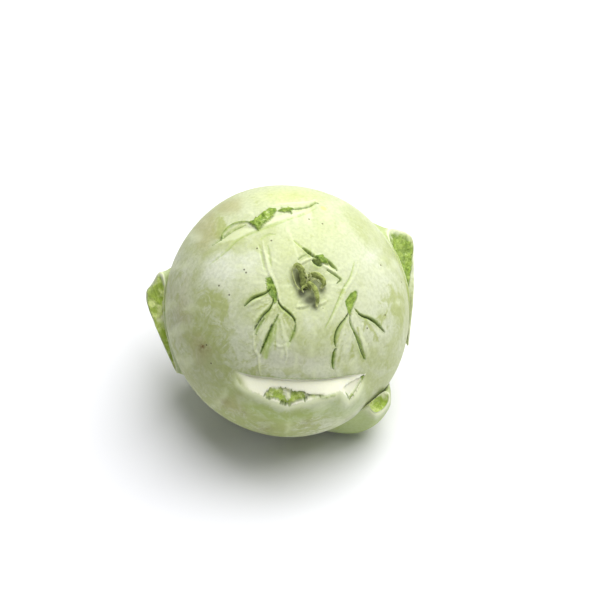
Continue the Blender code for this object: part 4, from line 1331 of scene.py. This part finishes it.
def scar_colours(n, colour, grain):
    """Colour of the skin with what its scars show; the tip shade and part of the crack colour are painted
    shade.
    """
    colour = n.layered(colour, SCAR_LAYERS)
    torn = n.mix(n.ramp(grain, *GRAIN_TORN), TORN_DARK, TORN_LIME)
    torn = n.mix(n.blots(FIBRES, FIBRES_SHOWN), torn, TORN_PALE)
    fresh = n.mix(n.blots(FRESH_FIBRES, FRESH_SHOWN), FRESH_DARK, FRESH_LIGHT)
    torn = n.mix(n.attribute("fresh"), torn, fresh)
    return n.layered(colour, (("torn", torn), ("pocket", TIP_SHADE_DARK), ("crack", CRACK_DARK)))


def bare_waxy_and_shaded(n, bloom, scuffs):
    """Colour of the skin without its scars, with rubbed greener patches and painted shade, and its fine
    grain.
    """
    ragged = n.math("ADD", n.attribute("rub"), n.ramp(scuffs, *SCUFFS_RAGGED))
    bare_and_shaded = n.ramp(ragged, *BARE_AND_SHADE_SHOWN)
    colour = n.mix(n.ramp(bloom, *BLOOM_SHOWN), SKIN_GREEN, SKIN_BLOOM)
    colour = n.mix(n.attribute("crown"), colour, SKIN_CROWN)
    colour = n.mix(n.product(bare_and_shaded, BARE_AND_SHADE_SHARE), colour, SKIN_GREEN)
    colour = n.layered(colour, SKIN_LAYERS)
    fine = n.noise(*FINE_GRAIN)
    return n.mix(n.ramp(fine, *FINE_GRAIN_SHOWN), colour, GRAIN_GREEN), fine


def with_dots(n, colour, places, radius, share, over):
    """The colour with dots laid over it at places of the face side."""
    points = (on_skin(directions_at(np.array(places))) - rest_middle()) * MM
    return n.mix(n.product(n.dots(points, radius * MM), share), colour, over)


def skin_material():
    n = Nodes("kohlrabi_skin")
    scattered, drawn, yellow = SPECK_SHARES
    wax = n.noise(*WAX)
    scuffs = n.noise(*SCUFFS)
    bloom = n.math("SUBTRACT", n.ramp(wax, *WAX_SHOWN), n.ramp(scuffs, *SCUFFS_SHOWN))
    colour, fine = bare_waxy_and_shaded(n, bloom, scuffs)
    colour = n.mix(n.product(n.specks(*SPECK_CELLS), scattered), colour, SPECK_BROWN)
    grain = n.noise(*GRAIN)
    colour = scar_colours(n, colour, grain)
    wood = n.mix(n.blots(WOOD, WOOD_SHOWN), ROOT_BROWN, ROOT_PALE)
    colour = n.mix(n.attribute("root"), colour, wood)
    colour = n.mix(n.product(n.attribute("brown"), n.ramp(grain, *GRAIN_MARKS)), colour, MARK_BROWN)
    colour = with_dots(n, colour, SPECKS, SPECK_RADIUS, drawn, SPECK_BROWN)
    colour = with_dots(n, colour, [PALE_DOT[:2]], PALE_DOT[2], yellow, DOT_YELLOW)
    n.put(n.shader, {"Base Color": colour, "Roughness": n.ramp(bloom, *BLOOM_ROUGHNESS), **SKIN_SHADING})
    torn_bump = n.product(grain, n.attribute("torn"))
    n.bump(zip((n.noise(*PORES), fine, torn_bump, scuffs), SKIN_BUMPS))
    return n.material


def mesh_object(name, points, triangles, looks, material):
    """A smooth mesh object in metres in the row's frame, with its looks as point values."""
    low, high = (np.array(corner) for corner in cad_box)
    placed = np.clip((points - rest_middle()) * MM, low, high)
    mesh = bpy.data.meshes.new(name)
    mesh.from_pydata([tuple(point) for point in placed], [], triangles)
    work = bmesh.new()
    work.from_mesh(mesh)
    bmesh.ops.recalc_face_normals(work, faces=work.faces[:])
    work.to_mesh(mesh)
    work.free()
    for look, values in looks.items():
        layer = mesh.attributes.new(look, "FLOAT", "POINT")
        layer.data.foreach_set("value", np.clip(values, 0.0, 1.0).astype(np.float32))
    mesh.shade_smooth()
    mesh.materials.append(material)
    made = bpy.data.objects.new(name, mesh)
    bpy.context.scene.collection.objects.link(made)
    return made


def oval_mask(places, ovals):
    """Soft oval marks on the face side."""
    total = np.zeros(len(places))
    for u, v, half_width, half_height, strength in ovals:
        offset = (places - np.array((u, v))) / np.array((half_width, half_height))
        total = np.maximum(total, strength * bell(np.linalg.norm(offset, axis=1), 1.0))
    return total


def patch_mask(places, ovals, ragged):
    """Ragged-edged patches on the face side."""
    return smooth((oval_mask(places, ovals) - PATCH_START + PATCH_RAGGED * ragged) * PATCH_GAIN)


def fan_streaks(places):
    """Streaks that run out from the core of each claw, from -1 to 1, and where they are."""
    streaks = np.zeros(len(places))
    for middle, outline in FANS:
        away = places - np.array(middle)
        angles = np.arctan2(away[:, 1], away[:, 0])
        distance = np.linalg.norm(away, axis=1)
        line = np.stack([angles * FAN_STREAKS, FAN_ALONG * distance, np.zeros(len(places))], axis=1)
        within = inside(places + FAN_WAVE * np.sin(FAN_WAVES * angles)[:, None], outline)
        streaks += np.where(within, rough_noise(line, *FAN_NOISE), 0.0)
    return streaks


def radial_streaks(places):
    """Faint streaks that run away from the growing tip, from -1 to 1."""
    away = places - np.array(TIP_PLACE)
    distance = np.linalg.norm(away, axis=1)
    around = RADIAL_STREAKS * away / np.maximum(distance, 1.0)[:, None]
    line = np.concatenate([around, distance[:, None] / RADIAL_LENGTH], axis=1)
    return rough_noise(line, *RADIAL_NOISE)


def back_patches(points):
    """Ragged greener patches on the sides that the photo hides."""
    return smooth(BACK_GREEN_GAIN * (rough_noise(points, *BACK_NOISE) - BACK_GREEN_START))


def skin_masks(places, facing, ragged):
    """Masks of marks and patches on the face side, with painted shade above the broad cut scar."""
    return {
        "brown": facing * oval_mask(places, BROWN_MARKS),
        "grey_tone_and_shade": GREY_AND_SHADE_SHARE * facing * oval_mask(places, GREY_AND_SHADE_PATCHES),
        "tan": PATCH_SHARE * facing * patch_mask(places, TAN_PATCHES, ragged),
        "yellow": PATCH_SHARE * facing * oval_mask(places, YELLOW_PATCHES),
        "bloom": PATCH_SHARE * facing * patch_mask(places, BLOOM_PATCHES, ragged),
    }


def stem_looks(points, looks):
    """Masks that colour the skin, with painted shade at the lower left, under the tuft and over the broad
    cut scar.
    """
    face = unit(points) @ FACE
    facing = soft(face[:, 2], FACING)
    places = seen_at(points)
    radial = radial_streaks(places)
    uneven, along = PATCH_NOISE_SHARES
    ragged = uneven * rough_noise(points, *PATCH_NOISE) + along * radial
    streaks = fan_streaks(places) * facing
    shaded = smooth(places @ np.array(SHADED_WAY) / SHADED_REACH)
    near_tip = bell(distance_to_place(points, TIP_PLACE), CROWN_REACH)
    looks["crown"] = CROWN_SHARES[0] * near_tip + CROWN_SHARES[1] * soft(face[:, 1], CROWN_SIDE)
    looks["rub"] = facing * patch_mask(places, GREEN_PATCHES, ragged) + (1.0 - facing) * back_patches(points)
    raise_look(looks, "rub", RADIAL_SHARES[0] * facing * soft(radial, RADIAL_GREEN))
    raise_look(looks, "rub", FAN_SHARES[0] * soft(streaks, FAN_GREEN))
    # Painted shade towards the lower left, laid into the same mask as the rubbed patches
    raise_look(looks, "rub", SHADED_SHARE * facing * shaded)
    raise_look(looks, "pale", FAN_SHARES[1] * soft(streaks, FAN_PALE))
    raise_look(looks, "pale", RADIAL_SHARES[1] * facing * soft(radial, RADIAL_PALE))
    # Painted shade under the withered leaves
    raise_look(looks, "pocket", facing * oval_mask(places, TIP_SHADES))
    looks.update(skin_masks(places, facing, ragged))
    return looks


def build_stem():
    points, triangles, looks = stem_mesh()
    stem = mesh_object("kohlrabi_stem", points, triangles, stem_looks(points, looks), skin_material())
    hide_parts("bulb")
    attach(stem, "root")


# Painted shade: darker colour in the hollow under the withered leaves
TIP_SHADES = (
    (3.7, 11.4, 1.8, 3.6, 1.0), (5.2, 6.6, 2.0, 2.4, 1.2), (8.0, 4.0, 2.8, 2.1, 1.2),
    (9.6, 2.0, 1.4, 1.5, 1.0), (12.6, 8.0, 1.3, 1.8, 0.8),
)

# Withered leaf remnants: half width, thickness, cup in degrees (below zero it opens upwards), tilt in
# degrees, fringe, paleness, then places with the height over the hollow
TUFT_LEAVES = (
    (1.5, 0.4, 120.0, 10.0, 0.5, 0.0, (
        (6.3, 9.4, 1.6), (5.8, 12.2, 2.5), (4.9, 14.8, 2.9), (3.3, 16.6, 2.5), (1.7, 15.6, 1.3),
    )),
    (0.5, 0.3, 60.0, 0.0, 0.3, 0.4, (
        (1.5, 15.4, 0.9), (2.0, 12.6, 1.0), (3.4, 9.6, 1.1), (5.4, 7.8, 1.3),
    )),
    (0.7, 0.5, 70.0, -25.0, 1.2, 0.8, (
        (6.9, 10.2, 1.4), (7.3, 12.0, 2.7), (6.7, 13.4, 3.1), (6.0, 15.2, 3.0),
    )),
    (0.5, 0.4, 80.0, 0.0, 1.0, 0.6, ((7.6, 11.4, 1.8), (8.3, 12.8, 2.9), (7.7, 14.4, 3.0))),
    (1.15, 0.42, 150.0, -20.0, 0.7, 0.0, (
        (7.0, 12.4, 1.5), (9.2, 13.4, 2.8), (11.6, 12.4, 3.2), (13.1, 10.2, 2.6), (12.4, 8.2, 1.5),
    )),
    (0.5, 0.4, 60.0, 0.0, 1.2, 0.7, ((8.4, 11.6, 1.9), (10.2, 11.8, 2.5), (11.6, 10.4, 2.3))),
    (1.1, 0.42, 130.0, 0.0, 0.3, 0.0, (
        (6.6, 11.8, 1.6), (8.8, 10.0, 2.9), (10.2, 7.6, 3.3), (10.8, 4.3, 2.6), (10.6, 1.4, 1.2),
    )),
    (0.8, 0.5, 80.0, 0.0, 0.3, 0.0, (
        (8.8, 8.6, 1.2), (8.0, 9.6, 1.7), (6.6, 9.8, 1.9), (5.4, 8.6, 1.9), (5.9, 7.0, 1.7),
    )),
)
LEAF_GRAIN = (700.0, 4.0, 0.65)
LEAF_GRAIN_SHOWN = (0.34, 0.60)
LEAF_BLOTS = (0.54, 0.70, 0.0, 0.45)
LEAF_EDGE_SHOWN = (0.3, 0.55, 0.35, 0.95)
LEAF_PORES = (1500.0, 2.0, 0.5)
LEAF_STEPS = 8
LEAF_ACROSS = 17
LEAF_DROOP = 0.8
LEAF_ROUGH = 0.3
LEAF_HOLLOW_SHADE = 0.9
SIDE_TEAR = 0.6
FRAYED_FROM = 0.8
CUSHION_PLACE = (6.9, 10.9)
CUSHION_RADIUS = 2.2
CUSHION_THICKNESS = 1.1
CUSHION_SECTORS = 48
CUSHION_RINGS = 12


def hollow_points(places, heights):
    """Points over the skin of the hollow at the growing tip."""
    directions = directions_at(places)
    return directions * (skin_shape(directions)[0] + heights)[:, None]


def leaf_axes(path, tilt):
    """Middle line of a leaf, the ways along it, and the tilted ways across it and over it."""
    middle = hollow_points(path[:, :2], path[:, 2])
    ways = unit(np.gradient(middle, axis=0))
    across = unit(np.cross(ways, unit(middle)))
    over = np.cross(across, ways)
    c = math.cos(math.radians(tilt))
    s = math.sin(math.radians(tilt))
    return middle, ways, c * across + s * over, c * over - s * across


def torn_ring(ring, shares, along, fringe, way, across, over):
    """One ring of a leaf with rough sides, and with a frayed end on the last ones."""
    rough = rough_noise(ring, *LEAF_NOISE)
    torn = np.abs(shares) ** 3 * np.maximum(rough_noise(ring + 5.0, *FRAY_NOISE), -0.3)
    sideways = fringe * torn[:, None] * np.sign(shares)[:, None] * across * SIDE_TEAR
    ring = ring + LEAF_ROUGH * rough[:, None] * over - sideways
    if along > FRAYED_FROM:
        frayed = np.maximum(rough_noise(ring + 7.0, *FRAY_NOISE), 0.0)
        ring = ring - fringe * (along - FRAYED_FROM) * 5.0 * frayed[:, None] * way
    return ring


def leaf_mesh(half_width, thickness, cup, tilt, fringe, paleness, path):
    """A withered leaf as a cupped shell with ragged edges, and its masks of pale edge and of painted shade
    in its hollow.
    """
    path = curve_through(path, LEAF_STEPS)
    middle, ways, across, over = leaf_axes(path, tilt)
    shares = np.linspace(-1.0, 1.0, LEAF_ACROSS)
    angles = math.radians(abs(cup)) / 2.0 * shares
    wall = thickness * (1.0 - 0.6 * np.abs(shares) ** 3)
    # Painted shade inside leaves that cup upwards
    hollow = (1.0 - shares**4) * (LEAF_HOLLOW_SHADE if cup < 0.0 else 0.0)
    rings = []
    edges = []
    hollow_shades = []
    for k in range(len(middle)):
        along = k / (len(middle) - 1)
        width = half_width * (0.3 + 0.7 * math.sin(math.pi * (0.15 + 0.8 * along)))
        lift = math.copysign(LEAF_DROOP * width, cup) * (1.0 - np.cos(angles))
        ring = middle[k] + width * np.sin(angles)[:, None] * across[k]
        ring = ring - lift[:, None] * over[k]
        ring = torn_ring(ring, shares, along, fringe, ways[k], across[k], over[k])
        outer = ring + 0.5 * wall[:, None] * over[k]
        inner = ring - 0.5 * wall[:, None] * over[k]
        rings.append(np.concatenate([outer, inner[::-1]]))
        edge = np.maximum(np.abs(shares) ** 8, soft(along, LEAF_END))
        edge = np.maximum(edge, paleness)
        edges.append(np.concatenate([edge, edge[::-1]]))
        hollow_shades.append(np.concatenate([hollow, np.zeros(len(hollow))]))
    return rings, edges, hollow_shades


def closed_strip(rings, first):
    """Triangles of a strip of rings with both ends closed."""
    size = len(rings[0])
    triangles = []
    starts = [first + k * size for k in range(len(rings))]
    for a, b in zip(starts, starts[1:]):
        triangles += bridge(list(range(a, a + size)), list(range(b, b + size)))
    for start, flip in ((starts[0], True), (starts[-1], False)):
        for k in range(size // 2 - 1):
            quad = (start + k, start + k + 1, start + size - 2 - k, start + size - 1 - k)
            quad = quad[::-1] if flip else quad
            triangles += [(quad[0], quad[1], quad[2]), (quad[0], quad[2], quad[3])]
    return triangles


def cushion_mesh(first):
    """Low lumpy cushion that joins the withered leaves."""
    angles = circle_angles(CUSHION_SECTORS)
    circle = np.stack([np.cos(angles), np.sin(angles)], axis=1)
    parts = [hollow_points(np.array([CUSHION_PLACE]), np.array([TUFT_GAP]))]
    for k in range(1, CUSHION_RINGS):
        turn = math.pi * k / CUSHION_RINGS
        places = np.array(CUSHION_PLACE) + math.sin(turn) ** 0.7 * CUSHION_RADIUS * circle
        height = TUFT_GAP + CUSHION_THICKNESS * 0.5 * (1.0 - math.cos(turn))
        ring = hollow_points(places, np.full(len(places), height))
        lumps = 0.25 * np.maximum(rough_noise(ring, *CUSHION_NOISE), -0.2) * math.sin(turn)
        parts.append(ring + lumps[:, None] * unit(ring))
    parts.append(hollow_points(np.array([CUSHION_PLACE]), np.array([TUFT_GAP + CUSHION_THICKNESS])))
    starts = [first + 1 + k * CUSHION_SECTORS for k in range(CUSHION_RINGS - 1)]
    rings = [list(range(start, start + CUSHION_SECTORS)) for start in starts]
    last = starts[-1] + CUSHION_SECTORS
    triangles = fan(rings[0][::-1], first) + fan(rings[-1], last)
    for outer, inner in zip(rings, rings[1:]):
        triangles += bridge(outer, inner)
    return np.concatenate(parts), triangles


def leaf_material():
    n = Nodes("kohlrabi_withered_leaf")
    grain = n.noise(*LEAF_GRAIN)
    colour = n.mix(n.ramp(grain, *LEAF_GRAIN_SHOWN), DRY_GREEN, DRY_LIGHT)
    colour = n.mix(n.blots(PORES, LEAF_BLOTS), colour, DRY_DARK_AND_SHADE)
    # Painted shade in the hollow of upward cupped leaves and on the cushion under the leaves
    colour = n.layered(colour, (("hollow", DRY_DARK_AND_SHADE),))
    colour = n.mix(n.product(n.attribute("edge"), n.ramp(grain, *LEAF_EDGE_SHOWN)), colour, DRY_PALE)
    n.put(n.shader, {"Base Color": colour, "Roughness": 0.78, "Specular IOR Level": 0.25})
    n.bump(((grain, 0.0002), (n.noise(*LEAF_PORES), 0.00005)))
    return n.material


def build_tuft():
    points, triangles = cushion_mesh(0)
    all_points = [points]
    edges = [np.zeros(len(points))]
    # Painted shade over the whole cushion under the leaves
    hollow_shades = [np.full(len(points), 0.35)]
    total = len(points)
    for leaf in TUFT_LEAVES:
        rings, leaf_edges, leaf_hollow_shades = leaf_mesh(*leaf)
        triangles += closed_strip(rings, total)
        all_points += rings
        edges += leaf_edges
        hollow_shades += leaf_hollow_shades
        total += sum(len(ring) for ring in rings)
    looks = {"edge": np.concatenate(edges), "hollow": np.concatenate(hollow_shades)}
    tuft = mesh_object("kohlrabi_crown_tuft", np.concatenate(all_points), triangles, looks, leaf_material())
    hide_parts("crown_tuft")
    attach(tuft, "root")


# Floor, light and camera
PHOTO_PIXELS = 600
PIXELS_PER_MM = 2.7
MIDDLE_PIXEL = (288.0, 311.0)
FLOOR_HALF_SIZE = 3.0
FLOOR_COLOUR = (0.925, 0.925, 0.95, 1.0)
ROOM_COLOUR = (0.93, 0.95, 1.0, 1.0)
SENSOR = 36.0
LIGHT_WAY = (0.24, 0.77, 0.49)
LIGHT_DISTANCE = 0.75
LIGHT_SIZE = 0.9
LIGHT_POWER = 10.9
WORLD_STRENGTH = 0.18


def build_floor():
    mesh = bpy.data.meshes.new("floor")
    h = FLOOR_HALF_SIZE
    mesh.from_pydata([(-h, -h, 0.0), (h, -h, 0.0), (h, h, 0.0), (-h, h, 0.0)], [], [(0, 1, 2, 3)])
    floor = bpy.data.objects.new("floor", mesh)
    n = Nodes("pale_floor")
    n.put(n.shader, {"Base Color": FLOOR_COLOUR, "Roughness": 0.9, "Specular IOR Level": 0.1})
    mesh.materials.append(n.material)
    bpy.context.scene.collection.objects.link(floor)


def aim(thing, place, target):
    thing.location = place
    thing.rotation_euler = (Vector(target) - Vector(place)).to_track_quat("-Z", "Y").to_euler()


def build_light(middle):
    lamp = bpy.data.lights.new("overhead_light", "AREA")
    lamp.shape = "SQUARE"
    lamp.size = LIGHT_SIZE
    lamp.energy = LIGHT_POWER
    light = bpy.data.objects.new("overhead_light", lamp)
    bpy.context.scene.collection.objects.link(light)
    aim(light, middle + LIGHT_DISTANCE * (FACE @ unit(LIGHT_WAY)), middle)
    world = bpy.data.worlds.new("pale_room")
    world.use_nodes = True
    sky = world.node_tree.nodes["Background"]
    sky.inputs["Color"].default_value = ROOM_COLOUR
    sky.inputs["Strength"].default_value = WORLD_STRENGTH
    bpy.context.scene.world = world


def build_camera(middle):
    view = bpy.data.cameras.new("photo_view")
    width = PHOTO_PIXELS / PIXELS_PER_MM
    view.sensor_width = SENSOR
    view.lens = SENSOR * FACE_DISTANCE / width
    view.shift_x = (PHOTO_PIXELS / 2.0 - MIDDLE_PIXEL[0]) / PHOTO_PIXELS
    view.shift_y = (MIDDLE_PIXEL[1] - PHOTO_PIXELS / 2.0) / PHOTO_PIXELS
    view.clip_start = 0.01
    camera = bpy.data.objects.new("photo_view", view)
    bpy.context.scene.collection.objects.link(camera)
    away = Matrix.Translation(middle + FACE_DISTANCE * MM * FACE[:, 2])
    camera.matrix_world = away @ Matrix(FACE.tolist()).to_4x4()
    bpy.context.scene.camera = camera


def main():
    bpy.context.scene.view_settings.view_transform = "Standard"
    middle = -rest_middle() * MM
    build_floor()
    build_light(middle)
    build_camera(middle)
    build_stem()
    build_tuft()


main()
